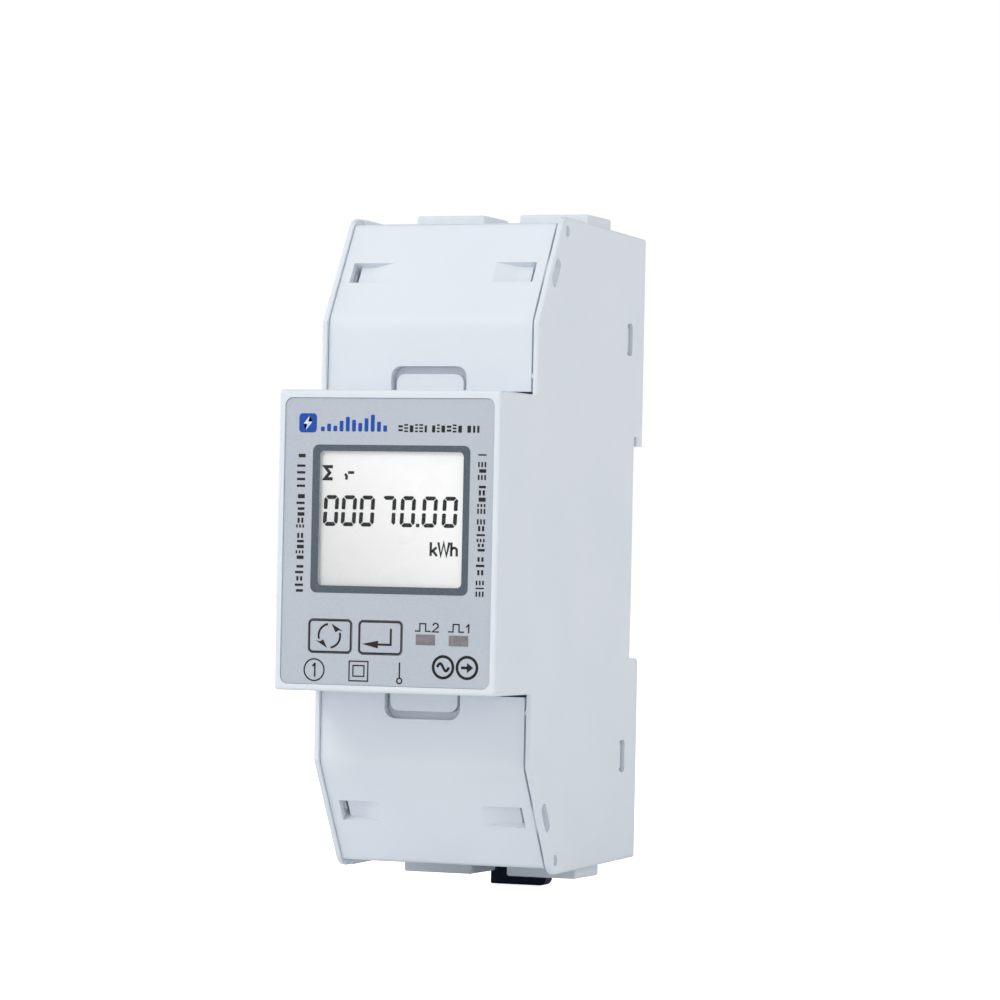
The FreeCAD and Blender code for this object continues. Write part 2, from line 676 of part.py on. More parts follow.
# ---- front panel pieces ------------------------------------------------------------------------------
def front_label():
    body = slab_y(rectangle(0, -0.1, LABEL_HALF_X * 2, LABEL_HALF_Z * 2, 1.15), (LABEL_FRONT, LABEL_FLOOR))
    depth = (LABEL_FRONT - 0.1, LABEL_FLOOR + 0.1)
    x, z, width, height = DISPLAY
    cuts = [slab_y(rectangle(x, z, width, height, 0.8), depth)]
    for x, z in KEYS.values():
        cuts.append(slab_y(rectangle(x, z, KEY_SIZE[0] + 2 * KEY_GAP, KEY_SIZE[1] + 2 * KEY_GAP, 0.8), depth))
    for x, z in LIGHTS:
        cuts.append(slab_y(rectangle(x, z, LIGHT_SIZE[0] + 0.04, LIGHT_SIZE[1] + 0.04), depth))
    return body.cut(fuse(cuts))


def display_window():
    x, z, width, height = DISPLAY
    return slab_y(rectangle(x, z, width - 0.04, height - 0.04, 0.78), (LABEL_FRONT, LABEL_FRONT + 0.5))


KEY_STEM_END = -53.9


def key_cap(x, z):
    """Key flush with the label, its flange behind the panel and the stem to the switch."""
    cap = slab_y(rectangle(x, z, *KEY_SIZE, 0.7), (LABEL_FRONT, -56.8))
    flange = slab_y(rectangle(x, z, KEY_SIZE[0] + 0.7, KEY_SIZE[1] + 1.2, 0.7), (PANEL_REAR + 0.1, -56.4))
    stem = box((x - 1.2, x + 1.2), (-56.5, KEY_STEM_END), (z - 1.2, z + 1.2))
    return fuse([cap, flange, stem])


def switch_button(x, z):
    return rod_y(x, (KEY_STEM_END, KEY_STEM_END + 1.1), z, 1.6)


def tact_switches():
    """The two switches on the display board, each with the well that its button sinks into."""
    made = []
    for x, z in KEYS.values():
        body = box((x - 3, x + 3), (-53.3, DISPLAY_BOARD[0]), (z - 3, z + 3))
        made.append(body.cut(rod_y(x, (-54, -52.2), z, 1.7)))
    return made


def light_pipes():
    return [slab_y(rectangle(x, z, *LIGHT_SIZE), (LABEL_FRONT, -52.2)) for x, z in LIGHTS]


def pulse_lights():
    made = []
    for x, z in LIGHTS:
        base = box((x - 1.6, x + 1.6), (-50.9, DISPLAY_BOARD[0]), (z - 0.8, z + 0.8))
        dome = box((x - 1.0, x + 1.0), (-51.6, -50.8), (z - 0.7, z + 0.7))
        made.append(fuse([base, dome]))
    return made


LCD_GLASS = (0.5, 3.2, 25.6, 22.6)
LCD_Y = (LABEL_FRONT + 0.6, -56.1)


def lcd_panel():
    """Display glass: the front plate fits in the panel opening, the rear plate is the wider ledge."""
    x, z, width, height = DISPLAY
    front = slab_y(rectangle(x, z, width + 0.6, height + 0.6), (LCD_Y[0], PANEL_REAR + 0.15))
    x, z, width, height = LCD_GLASS
    rear = slab_y(rectangle(x, z, width, height), (PANEL_REAR + 0.1, LCD_Y[1]))
    return fuse([front, rear])


def lcd_backlight():
    x, z, width, height = LCD_GLASS
    return slab_y(rectangle(x, z, width - 0.4, height - 0.4, 0.4), (LCD_Y[1], LCD_Y[1] + 2.4))


def lcd_holder():
    """Frame that carries glass and backlight on the display board, with four feet."""
    x, z, width, height = LCD_GLASS
    outer = slab_y(rectangle(x, z, width + 1.6, height + 1.6, 0.8), (PANEL_REAR + 0.3, -52.6))
    inner = slab_y(rectangle(x, z, width + 0.1, height + 0.1), (PANEL_REAR - 1, -53.6))
    window = slab_y(rectangle(x, z, width - 5, height - 5, 0.5), (-54, -52))
    feet = []
    for side_x in (-1, 1):
        for side_z in (-1, 1):
            foot_x = x + side_x * (width / 2 - 2)
            foot_z = z + side_z * (height / 2 - 1.5)
            feet.append(rod_y(foot_x, (-52.7, DISPLAY_BOARD[0]), foot_z, 1.0))
    return fuse([outer.cut(fuse([inner, window]))] + feet)


def lcd_pins():
    """Row of pins along the lower edge of the display, down to the board."""
    x, z, _, height = LCD_GLASS
    low = z - height / 2 - 1.25
    return [box((x + i * 1.6 - 0.25, x + i * 1.6 + 0.25), (-56.4, -47.6), (low - 0.2, low + 0.2)) for i in range(-7, 8)]


def display_board():
    x, z, _, height = LCD_GLASS
    low = z - height / 2 - 1.25
    body = slab_y(rectangle(0, -0.1, 32.6, 41.4, 1.0), DISPLAY_BOARD)
    cuts = [rod_y(px, (-51, -48), pz, 1.1) for px, pz in board_posts()]
    cuts.append(box((x - 12, x + 12), (-51, -48), (low - 0.3, low + 0.3)))
    return body.cut(fuse(cuts))


def board_screws():
    made = []
    for x, z in board_posts():
        shank = rod_y(x, (-55.0, DISPLAY_BOARD[1] + 0.1), z, 0.8)
        head = rod_y(x, (DISPLAY_BOARD[1], DISPLAY_BOARD[1] + 1.2), z, 1.6)
        slot = box((x - 0.2, x + 0.2), (DISPLAY_BOARD[1] + 0.7, DISPLAY_BOARD[1] + 2), (z - 2, z + 2))
        made.append(fuse([shank, head]).cut(slot))
    return made


# ---- electronics ---------------------------------------------------------------------------------
CAN_X = 6.2
CAN_ZS = (-13.8, -4.0)
LEADS = {  # x, z of each lead through the power board, and its radius
    "film_capacitor": [(-13.0, -14.5, 0.4), (-3.0, -14.5, 0.4)],
    "varistor": [(14.0, -14.5, 0.35), (14.0, -9.5, 0.35)],
    "cans": [(CAN_X + side, z, 0.3) for z in CAN_ZS for side in (-1.25, 1.25)],
    "taps": [(LANES["live"], 6.8, 0.45), (LANES["live"], -6.8, 0.45), (LANES["neutral"], 0, 0.45)],
}


def leads(name, start, end):
    return [rod_y(x, (start, end), z, radius) for x, z, radius in LEADS[name]]


def power_board():
    """Main board: a wide middle, and a tongue at each end out to a small terminal block."""
    middle = box((-16.2, 16.2), POWER_BOARD, (-28, 28))
    tongue = box((SMALL_MID - 2.2, SMALL_MID + 2.2), POWER_BOARD, (27, 43))
    head = box((SMALL_MID - 7.2, SMALL_MID + 7.2), POWER_BOARD, (42.3, 48.3))
    holes = []
    for name in LEADS:
        holes += leads(name, POWER_BOARD[0] - 1, POWER_BOARD[1] + 1)
    return fuse([middle] + both(tongue) + both(head)).cut(fuse(holes))


def chip(x, y, z, size, legs):
    """Moulded chip on the front of a board, with gull-wing legs left and right."""
    width, height, thick = size
    body = box((x - width / 2, x + width / 2), (y - thick, y - 0.15), (z - height / 2, z + height / 2))
    pieces = [body]
    pitch = (height - 1.0) / max(legs - 1, 1)
    for i in range(legs):
        leg_z = z - (height - 1.0) / 2 + i * pitch
        pieces.append(
            box((x - width / 2 - 1.1, x + width / 2 + 1.1), (y - 0.3, y), (leg_z - 0.2, leg_z + 0.2))
        )
    return fuse(pieces)


def metering_chip():
    return chip(5.5, POWER_BOARD[0], 12.5, (5.4, 10.0, 1.8), 8)


def microcontroller():
    """Square chip on the rear of the display board, legs on four sides."""
    x, z, y = -7.0, 8.0, DISPLAY_BOARD[1]
    pieces = [box((x - 4, x + 4), (y + 0.15, y + 1.5), (z - 4, z + 4))]
    for i in range(-5, 6):
        pieces.append(box((x - 5, x + 5), (y, y + 0.3), (z + i * 0.65 - 0.15, z + i * 0.65 + 0.15)))
        pieces.append(box((x + i * 0.65 - 0.15, x + i * 0.65 + 0.15), (y, y + 0.3), (z - 5, z + 5)))
    return fuse(pieces)


def crystal():
    y = POWER_BOARD[0]
    can = slab_y(rectangle(11.8, 12.5, 4.4, 10.6, 2.1), (y - 3.4, y - 0.3))
    foot = slab_y(rectangle(11.8, 12.5, 4.8, 11.0, 2.3), (y - 0.3, y))
    return fuse([can, foot])


def film_capacitor():
    y = POWER_BOARD[0]
    body = box((-14.5, -1.5), (y - 11.5, y - 0.4), (-19.0, -10.0))
    body = soften(body, 0.6, lambda b: b.YMin < y - 11)
    return fuse([body] + leads("film_capacitor", y - 0.6, POWER_BOARD[1] + 1.0))


def electrolytic_capacitors():
    """Two cans with a rolled groove near the foot."""
    made = []
    y = POWER_BOARD[0]
    pins = leads("cans", y - 0.5, POWER_BOARD[1] + 0.8)
    for i, z in enumerate(CAN_ZS):
        can = rod_y(CAN_X, (y - 13.5, y - 0.3), z, 4.0)
        can = soften(can, 0.5, lambda b: near(b.YMin, b.YMax) and b.XLength > 7)
        ring = rod_y(CAN_X, (y - 2.6, y - 1.8), z, 5.0).cut(rod_y(CAN_X, (y - 3, y - 1), z, 3.7))
        made.append(fuse([can.cut(ring)] + pins[2 * i : 2 * i + 2]))
    return made


def varistor():
    y = POWER_BOARD[0]
    disc = rod_x((12.3, 15.7), y - 6.2, -12.0, 4.8)
    disc = soften(disc, 1.2, lambda b: near(b.XMin, b.XMax))
    return fuse([disc] + leads("varistor", y - 3.5, POWER_BOARD[1] + 0.8))


def supply_transformer():
    """Small switching transformer: ferrite core round a wound bobbin."""
    y = POWER_BOARD[0]
    core = box((-14.5, -2.5), (y - 9.5, y - 2.0), (5.0, 17.0))
    hollow = box((-15, -2), (y - 8.0, y - 3.5), (7.2, 14.8))
    bobbin = box((-13.7, -3.3), (y - 7.9, y - 3.6), (7.3, 14.7))
    feet = box((-14.0, -3.0), (y - 2.0, y), (4.2, 17.8))
    return [fuse([core.cut(hollow), feet]), bobbin]


def optocouplers():
    return [chip(x, POWER_BOARD[0], 24.2, (6.2, 4.6, 3.4), 2) for x in (-10.5, -0.5, 9.5)]


RIBBON_HALF = 3.2
RIBBON_THICK = 0.7
RIBBON_PATH = [(-45.0, -1.0), (-41.5, -1.0), (-38.5, 4.2), (-34.0, 5.4), (-30.6, 3.0), (-27.6, 3.0)]


def ribbon_connectors():
    """Sockets for the ribbon, one on each board."""
    x = (SMALL_MID - RIBBON_HALF - 0.8, SMALL_MID + RIBBON_HALF + 0.8)
    front = box(x, (DISPLAY_BOARD[1], RIBBON_PATH[0][0]), (-3.0, 1.0))
    rear = box(x, (RIBBON_PATH[-1][0], POWER_BOARD[0]), (2.0, 4.0))
    return [front, rear]


def ribbon_cable():
    """Flat cable between the boards, with slack: straight runs joined by tangent arcs."""
    path = RIBBON_PATH
    runs = [math.dist(path[i], path[i + 1]) for i in range(len(path) - 1)]
    edges = []
    last = Vector(0, *path[0])
    for i in range(1, len(path) - 1):
        here = Vector(0, *path[i])
        back = (Vector(0, *path[i - 1]) - here).normalize()
        ahead = (Vector(0, *path[i + 1]) - here).normalize()
        reach = 0.45 * min(runs[i - 1], runs[i])
        radius = reach * math.tan(back.getAngle(ahead) / 2)
        start, end = here + back * reach, here + ahead * reach
        sink = math.hypot(reach, radius) - radius
        edges.append(Part.LineSegment(last, start).toShape())
        edges.append(Part.Arc(start, here + (back + ahead).normalize() * sink, end).toShape())
        last = end
    edges.append(Part.LineSegment(last, Vector(0, *path[-1])).toShape())
    spine = Part.Wire(edges)
    spine.translate(Vector(SMALL_MID, 0, 0))
    y, z = path[0]
    corners = rectangle(SMALL_MID, z, RIBBON_HALF * 2, RIBBON_THICK)
    section = outline(corners, lambda p: Vector(p.x, y, p.y))
    return spine.makePipeShell([section], True, False, 0)


# ---- assembly --------------------------------------------------------------------------------------
def assembly():
    """Every node and its solid or solids."""
    cover = terminal_cover()
    nodes = {
        "housing_shell": housing_shell(),
        "rear_base": rear_base(),
        "upper_terminal_cover": cover,
        "lower_terminal_cover": below(cover),
        "rail_clip": rail_clip(),
        "clip_spring": clip_spring(),
        "front_label": front_label(),
        "display_window": display_window(),
        "lcd_panel": lcd_panel(),
        "lcd_backlight": lcd_backlight(),
        "lcd_holder": lcd_holder(),
        "lcd_pins": lcd_pins(),
        "light_pipes": light_pipes(),
        "pulse_lights": pulse_lights(),
        "tact_switches": tact_switches(),
        "display_board": display_board(),
        "board_screws": board_screws(),
        "microcontroller": microcontroller(),
        "ribbon_connectors": ribbon_connectors(),
        "ribbon_cable": ribbon_cable(),
        "power_board": power_board(),
        "metering_chip": metering_chip(),
        "crystal": crystal(),
        "film_capacitor": film_capacitor(),
        "electrolytic_capacitors": electrolytic_capacitors(),
        "varistor": varistor(),
        "supply_transformer": supply_transformer(),
        "optocouplers": optocouplers(),
        "live_out_bar": live_bar(),
        "live_in_bar": below(live_bar()),
        "neutral_bar": neutral_bar(),
        "current_shunt": current_shunt(),
        "tap_pins": tap_pins(),
        "pulse_terminal_block": small_block("pulse"),
        "data_terminal_block": below(small_block("data")),
    }
    for name, (x, z) in KEYS.items():
        nodes[f"{name}_key"] = key_cap(x, z)
        nodes[f"{name}_switch_button"] = switch_button(x, z)
    for lane, lane_x in LANES.items():
        screw, clamp = main_screw(lane_x), main_clamp(lane_x)
        nodes[f"{lane}_out_screw"] = screw
        nodes[f"{lane}_in_screw"] = below(screw)
        nodes[f"{lane}_out_clamp"] = clamp
        nodes[f"{lane}_in_clamp"] = below(clamp)
    for name, side in (("pulse", lambda s: s), ("data", below)):
        for i, x in enumerate(small_poles(name), 1):
            nodes[f"{name}_screw_{i}"] = side(small_screw(x))
    return nodes


def main():
    os.makedirs("parts", exist_ok=True)
    for name, made in assembly().items():
        solids = [s for shape in (made if isinstance(made, list) else [made]) for s in shape.Solids]
        for solid in solids:
            if not solid.isValid() or solid.Volume <= 0:
                print(f"{name}: a solid is not valid, volume {solid.Volume:.3f}")
        shape = solids[0] if len(solids) == 1 else Part.makeCompound(solids)
        shape.exportStep(f"parts/{name}.step")
        print(f"{name}: {len(solids)} solid(s), {shape.Volume:.1f} mm3")


main()
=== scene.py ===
"""Looks of the two-module rail-mounted electricity meter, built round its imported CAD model."""

import json
import math
import random

import bmesh
import bpy
from mathutils import Matrix, Vector


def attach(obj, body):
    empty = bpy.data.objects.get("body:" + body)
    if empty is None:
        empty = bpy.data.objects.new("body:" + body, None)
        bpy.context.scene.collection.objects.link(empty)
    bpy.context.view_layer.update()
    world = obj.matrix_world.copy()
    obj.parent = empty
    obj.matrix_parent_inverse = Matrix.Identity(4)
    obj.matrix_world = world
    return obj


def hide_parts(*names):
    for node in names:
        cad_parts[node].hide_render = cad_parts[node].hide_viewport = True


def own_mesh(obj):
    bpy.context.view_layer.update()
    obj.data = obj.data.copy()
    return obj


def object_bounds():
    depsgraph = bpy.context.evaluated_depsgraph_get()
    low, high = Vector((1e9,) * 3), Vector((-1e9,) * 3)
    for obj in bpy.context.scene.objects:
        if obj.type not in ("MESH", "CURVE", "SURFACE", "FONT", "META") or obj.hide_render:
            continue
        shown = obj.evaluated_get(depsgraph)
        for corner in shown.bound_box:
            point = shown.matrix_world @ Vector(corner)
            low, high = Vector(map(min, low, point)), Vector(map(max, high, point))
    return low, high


MM = 0.001

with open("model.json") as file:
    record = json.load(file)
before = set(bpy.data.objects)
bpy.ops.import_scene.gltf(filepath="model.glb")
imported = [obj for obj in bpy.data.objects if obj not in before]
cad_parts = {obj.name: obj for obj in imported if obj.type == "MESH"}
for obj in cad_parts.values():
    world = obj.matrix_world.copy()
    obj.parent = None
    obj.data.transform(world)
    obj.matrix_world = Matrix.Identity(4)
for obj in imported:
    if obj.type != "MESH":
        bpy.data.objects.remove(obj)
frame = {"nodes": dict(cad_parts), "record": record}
cad_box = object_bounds()

# ---- dimensions that the looks share with the CAD model, in millimetres ---------------------------
LABEL_PLANE = -58.9
GLASS_PLANE = -58.3
INK = 0.02
DIGIT_INK = 0.03
DISPLAY_INNER = (0.475, 3.35, 23.35, 20.3, 0.7)  # x, z, width, height, corner radius
DISPLAY_OUTER = (0.4, 3.27, 25.6, 22.35, 1.0)
SCROLL_KEY = (-8.97, -14.42)  # x, z
ENTER_KEY = (-0.74, -14.47)
KEY_FRAME = (7.01, 4.96, 0.68, 0.25)  # width, height, corner radius, line
MAIN_SCREWS = (1.0, 8.8, 35.5)  # x between them, half their distance, height above or below the middle
SHUNT_STAIN = (5.6, 8.0)  # where the stain begins and is darkest, above or below the middle
LED_LENS = -50.92  # the lens lies before this
SWITCH_PLATE = (-53.4, -53.1)
METERING_CHIP = (5.5, 2.72)  # x, half width of its body
CONTROLLER = (-7.0, 8.0, 4.03)  # x, z, half side of its body
CHIP_DOTS = ((3.8, 16.6), (-10.0, 11.0))
DOT_RADIUS = 0.4
COUPLERS = (15.5, 10.0, 3.12)  # shift, spacing, half width of a body
RIBBON_WIRE = 0.64
RIBBON_MARK = -1.62
FILM_LEADS = -24.39  # only leads lie behind this
VARISTOR_LEADS = -25.5
CAN_ENDS = (-37.47, -24.28)
CAN_STRIPE = 9.2
CAN_MARKS = 9.75
BOBBIN_Y = (-31.95, -27.55)
BOBBIN_Z = (7.25, 14.75)

TINNED = (0.66, 0.66, 0.65, 1)


# ---- material helpers -----------------------------------------------------------------------------
class Nodes:
    """A node tree, with short ways to add nodes and to link them."""

    def __init__(self, owner):
        owner.use_nodes = True
        self.tree = owner.node_tree

    def node(self, kind, **settings):
        made = self.tree.nodes.new(kind)
        for key, value in settings.items():
            setattr(made, key, value)
        return made

    def join(self, source, target):
        self.tree.links.new(source, target)

    def put(self, target, value):
        """Links an output to a socket, or sets the socket to a plain value."""
        if isinstance(value, bpy.types.NodeSocket):
            self.join(value, target)
        else:
            target.default_value = value

    def math(self, operation, first, second=0.0):
        made = self.node("ShaderNodeMath", operation=operation)
        self.put(made.inputs[0], first)
        self.put(made.inputs[1], second)
        return made.outputs[0]

    def mix(self, share, first, second):
        """Colour between the first and the second one."""
        made = self.node("ShaderNodeMix", data_type="RGBA")
        self.put(made.inputs[0], share)
        self.put(made.inputs[6], first)
        self.put(made.inputs[7], second)
        return made.outputs[2]


class Look(Nodes):
    """A Principled material whose patterns are laid out in millimetres of the rest position."""

    def __init__(self, name, color, roughness=0.5, metallic=0.0, **sockets):
        self.material = bpy.data.materials.new(name)
        super().__init__(self.material)
        self.tree.nodes.clear()
        self.shader = self.node("ShaderNodeBsdfPrincipled")
        self.output = self.node("ShaderNodeOutputMaterial")
        self.join(self.shader.outputs[0], self.output.inputs["Surface"])
        self.shader.inputs["Base Color"].default_value = color
        self.shader.inputs["Roughness"].default_value = roughness
        self.shader.inputs["Metallic"].default_value = metallic
        for socket, value in sockets.items():
            self.shader.inputs[socket.replace("_", " ")].default_value = value
        self.color = color
        self.material.diffuse_color = color
        self.position = self.stretched(1, 1, 1)
        self.normal = None

    def stretched(self, x, y, z):
        """Position in millimetres, with each axis divided by its own length."""
        place = self.node("ShaderNodeTexCoord")
        scale = self.node("ShaderNodeMapping")
        scale.inputs["Scale"].default_value = (1000 / x, 1000 / y, 1000 / z)
        self.join(place.outputs["Object"], scale.inputs["Vector"])
        return scale.outputs["Vector"]

    def axis(self, name, vector=None):
        split = self.node("ShaderNodeSeparateXYZ")
        self.join(vector or self.position, split.inputs[0])
        return split.outputs["XYZ".index(name)]

    def noise(self, size, detail=2.0, vector=None, roughness=0.5):
        """Noise whose lumps are about size millimetres."""
        made = self.node("ShaderNodeTexNoise")
        made.inputs["Scale"].default_value = 1 / size
        made.inputs["Detail"].default_value = detail
        made.inputs["Roughness"].default_value = roughness
        self.join(vector or self.position, made.inputs["Vector"])
        return made.outputs["Fac"]

    def cells(self, size, feature="F1", distance="EUCLIDEAN", vector=None):
        """Distance from the nearest point or edge of cells about size millimetres wide."""
        made = self.node("ShaderNodeTexVoronoi", feature=feature)
        if feature != "DISTANCE_TO_EDGE":
            made.distance = distance
        made.inputs["Scale"].default_value = 1 / size
        self.join(vector or self.position, made.inputs["Vector"])
        return made.outputs["Distance"]

    def span(self, value, low, high, to_low=0.0, to_high=1.0):
        """Value between low and high, mapped to a new range and held at its ends."""
        made = self.node("ShaderNodeMapRange")
        for name, number in (
            ("From Min", low),
            ("From Max", high),
            ("To Min", to_low),
            ("To Max", to_high),
        ):
            made.inputs[name].default_value = number
        self.join(value, made.inputs["Value"])
        return made.outputs[0]

    def between(self, value, low, high):
        """1 where low < value < high, else 0."""
        above = self.math("GREATER_THAN", value, low)
        under = self.math("LESS_THAN", value, high)
        return self.math("MULTIPLY", above, under)

    def vary(self, other, share):
        """Shifts the colour towards another one where share is 1."""
        self.color = self.mix(share, self.color, other)
        self.join(self.color, self.shader.inputs["Base Color"])

    def rough(self, value, low, high):
        self.join(self.span(value, 0.25, 0.75, low, high), self.shader.inputs["Roughness"])

    def emboss(self, height, strength, depth):
        """Adds a bump, depth in millimetres."""
        made = self.node("ShaderNodeBump")
        made.inputs["Strength"].default_value = strength
        made.inputs["Distance"].default_value = depth * MM
        self.join(height, made.inputs["Height"])
        if self.normal:
            self.join(self.normal, made.inputs["Normal"])
        self.normal = made.outputs["Normal"]
        self.join(self.normal, self.shader.inputs["Normal"])

    def bare(self, color, share):
        """Shows bare metal where share is 1."""
        self.vary(color, share)
        self.put(self.shader.inputs["Metallic"], share)


# ---- materials, one for each slot of the record ---------------------------------------------------
def housing_white():
    """Cool white moulded plastic with a fine spark-eroded grain."""
    look = Look("housing_white", (0.735, 0.785, 0.845, 1), 0.5, Specular_IOR_Level=0.35)
    look.vary((0.715, 0.768, 0.83, 1), look.span(look.noise(14, 2), 0.35, 0.7))
    grain = look.noise(0.28, 3, roughness=0.6)
    look.rough(look.noise(1.3, 2), 0.46, 0.56)
    look.emboss(grain, 0.12, 0.02)
    look.emboss(look.noise(22, 1), 0.05, 0.6)
    return look


def clip_black():
    look = Look("clip_black", (0.003, 0.011, 0.027, 1), 0.5, Specular_IOR_Level=0.12)
    look.vary((0.009, 0.02, 0.041, 1), look.span(look.noise(0.5, 3), 0.55, 0.8))
    look.rough(look.noise(2.0, 2), 0.34, 0.52)
    look.emboss(look.noise(0.25, 3), 0.2, 0.03)
    return look


def steel(name, color, rings=None, brushed=None, roughness=0.3):
    """Bare or plated steel: turned rings round a centre, or brushed along one axis."""
    look = Look(name, color, roughness, 1.0)
    darker = tuple(0.72 * c for c in color[:3]) + (1,)
    look.vary(darker, look.span(look.noise(1.6, 3), 0.45, 0.75))
    look.rough(look.noise(0.6, 3), roughness - 0.08, roughness + 0.14)
    if brushed:
        look.emboss(look.noise(1.0, 2, look.stretched(*brushed)), 0.25, 0.02)
    if rings:
        look.emboss(look.math("SINE", look.math("MULTIPLY", rings(look), 42.0)), 0.2, 0.01)
    return look


def main_rings(look):
    """Distance from the nearest main screw's axis."""
    middle, half, height = MAIN_SCREWS
    from_middle = look.math("ABSOLUTE", look.math("SUBTRACT", look.axis("X"), middle))
    across = look.math("SUBTRACT", from_middle, half)
    up = look.math("SUBTRACT", look.math("ABSOLUTE", look.axis("Z")), height)
    return look.math("SQRT", look.math("ADD", look.math("POWER", across, 2), look.math("POWER", up, 2)))


def zinc_steel():
    look = steel("zinc_steel", (0.62, 0.63, 0.64, 1), rings=main_rings, roughness=0.28)
    look.vary((0.70, 0.66, 0.48, 1), look.span(look.noise(3.5, 2), 0.5, 0.9, 0, 0.35))
    return look


def clamp_steel():
    return steel("clamp_steel", (0.56, 0.57, 0.58, 1), brushed=(0.15, 0.4, 2.5), roughness=0.36)


def spring_steel():
    return steel("spring_steel", (0.42, 0.42, 0.43, 1), brushed=(0.4, 0.4, 0.1), roughness=0.28)


def tinned_pins():
    return steel("tinned_pins", TINNED, brushed=(0.2, 1.2, 0.2), roughness=0.3)


def can_steel():
    return steel("can_steel", (0.60, 0.61, 0.62, 1), brushed=(1.5, 0.3, 1.5), roughness=0.24)


def bar_brass():
    look = steel("bar_brass", (0.72, 0.52, 0.25, 1), brushed=(0.12, 0.12, 3.0), roughness=0.3)
    look.vary((0.50, 0.30, 0.16, 1), look.span(look.noise(4, 3), 0.55, 0.85, 0, 0.6))
    return look


def shunt_alloy():
    """Copper-manganese strip, stained by the heat of brazing at both ends."""
    look = steel("shunt_alloy", (0.60, 0.46, 0.36, 1), brushed=(0.12, 0.12, 2.5), roughness=0.34)
    heat = look.span(look.math("ABSOLUTE", look.axis("Z")), *SHUNT_STAIN, 0, 0.7)
    look.vary((0.22, 0.16, 0.22, 1), heat)
    return look


def label_foil():
    """Printed polyester label: satin silver-grey with a very fine fleck."""
    look = Look("label_foil", (0.485, 0.53, 0.60, 1), 0.42, Specular_IOR_Level=0.3)
    look.vary((0.455, 0.50, 0.57, 1), look.span(look.noise(0.35, 3), 0.45, 0.65))
    look.vary((0.50, 0.545, 0.61, 1), look.span(look.noise(16, 1), 0.35, 0.75, 0, 0.7))
    look.rough(look.noise(0.5, 2), 0.38, 0.48)
    look.emboss(look.noise(0.22, 2), 0.08, 0.01)
    return look


def key_grey():
    """Key caps under the same label film, a little smoother where fingers press."""
    look = Look("key_grey", (0.475, 0.52, 0.59, 1), 0.42, Specular_IOR_Level=0.3)
    look.vary((0.455, 0.50, 0.57, 1), look.span(look.noise(0.35, 3), 0.45, 0.65))
    look.rough(look.noise(2.5, 2), 0.3, 0.46)
    look.emboss(look.noise(0.22, 2), 0.08, 0.01)
    return look


def window_clear():
    look = Look("window_clear", (0.30, 0.32, 0.34, 1), 0.06, Alpha=0.03, Specular_IOR_Level=0.5)
    look.rough(look.noise(6, 2), 0.04, 0.09)
    return look


def display_glass():
    """Reflective display cell: pale grey, with painted light that makes it lighter towards the top right,
    and a faint painted glow of that colour.
    """
    look = Look("display_glass", (0.72, 0.72, 0.72, 1), 0.3)
    slope = look.math("ADD", look.axis("X"), look.math("MULTIPLY", look.axis("Z"), 1.1))
    # painted light: the cell's colour grows lighter towards the top right
    look.vary((1.0, 1.0, 1.0, 1), look.span(slope, -19, 14))
    look.vary((0.84, 0.84, 0.84, 1), look.span(look.noise(0.3, 2), 0.4, 0.7, 0, 0.1))
    # painted glow: the cell gives off a little light in its own colour, though nothing lights it from
    # behind
    look.join(look.color, look.shader.inputs["Emission Color"])
    look.shader.inputs["Emission Strength"].default_value = 0.03
    look.rough(look.noise(5, 1), 0.24, 0.34)
    return look


def light_guide():
    look = Look("light_guide", (0.85, 0.87, 0.88, 1), 0.35)
    dots = look.span(look.cells(1.2), 0.12, 0.2)
    look.vary((0.97, 0.97, 0.95, 1), look.math("SUBTRACT", 1.0, dots))
    look.emboss(dots, 0.3, 0.05)
    return look


def frame_grey():
    look = Look("frame_grey", (0.55, 0.56, 0.57, 1), 0.5)
    look.vary((0.50, 0.51, 0.53, 1), look.span(look.noise(6, 2), 0.4, 0.7))
    look.rough(look.noise(1.0, 2), 0.44, 0.58)
    look.emboss(look.noise(0.3, 2), 0.15, 0.02)
    return look


def light_pipe():
    """Smoky clear plastic, diffused at its face."""
    look = Look("light_pipe", (0.2122, 0.2122, 0.2307, 1), 0.38)
    look.vary((0.1651, 0.1651, 0.1812, 1), look.span(look.noise(0.7, 3), 0.4, 0.65))
    look.rough(look.noise(0.9, 2), 0.3, 0.44)
    look.emboss(look.noise(0.2, 2), 0.15, 0.02)
    return look


def led_body():
    look = Look("led_body", (0.82, 0.81, 0.77, 1), 0.4)
    look.vary((0.75, 0.30, 0.12, 1), look.math("LESS_THAN", look.axis("Y"), LED_LENS))
    look.rough(look.noise(0.6, 2), 0.25, 0.45)
    return look


def switch_black():
    look = Look("switch_black", (0.02, 0.02, 0.022, 1), 0.45)
    look.bare((0.62, 0.62, 0.63, 1), look.between(look.axis("Y"), *SWITCH_PLATE))
    look.rough(look.noise(0.5, 2), 0.32, 0.5)
    return look


def circuit_board():
    """Green laminate: copper tracks under the mask, tinned pads, and bare glass fibre at the cut edges."""
    look = Look("circuit_board", (0.012, 0.12, 0.05, 1), 0.32)
    flat = look.stretched(1, 40, 1)
    tracks = look.cells(3.2, "DISTANCE_TO_EDGE", vector=flat)
    thin = look.between(tracks, 0.0, 0.045)
    squared = look.between(look.cells(7.5, "F1", "MANHATTAN", flat), 0.32, 0.36)
    copper = look.math("MAXIMUM", thin, squared)
    look.vary((0.03, 0.24, 0.09, 1), copper)
    pads = look.math("LESS_THAN", look.cells(2.6, vector=flat), 0.13)
    look.bare((0.72, 0.71, 0.68, 1), pads)
    look.rough(look.noise(2.0, 2), 0.26, 0.42)
    look.emboss(copper, 0.35, 0.03)
    look.emboss(pads, 0.5, 0.06)
    return look


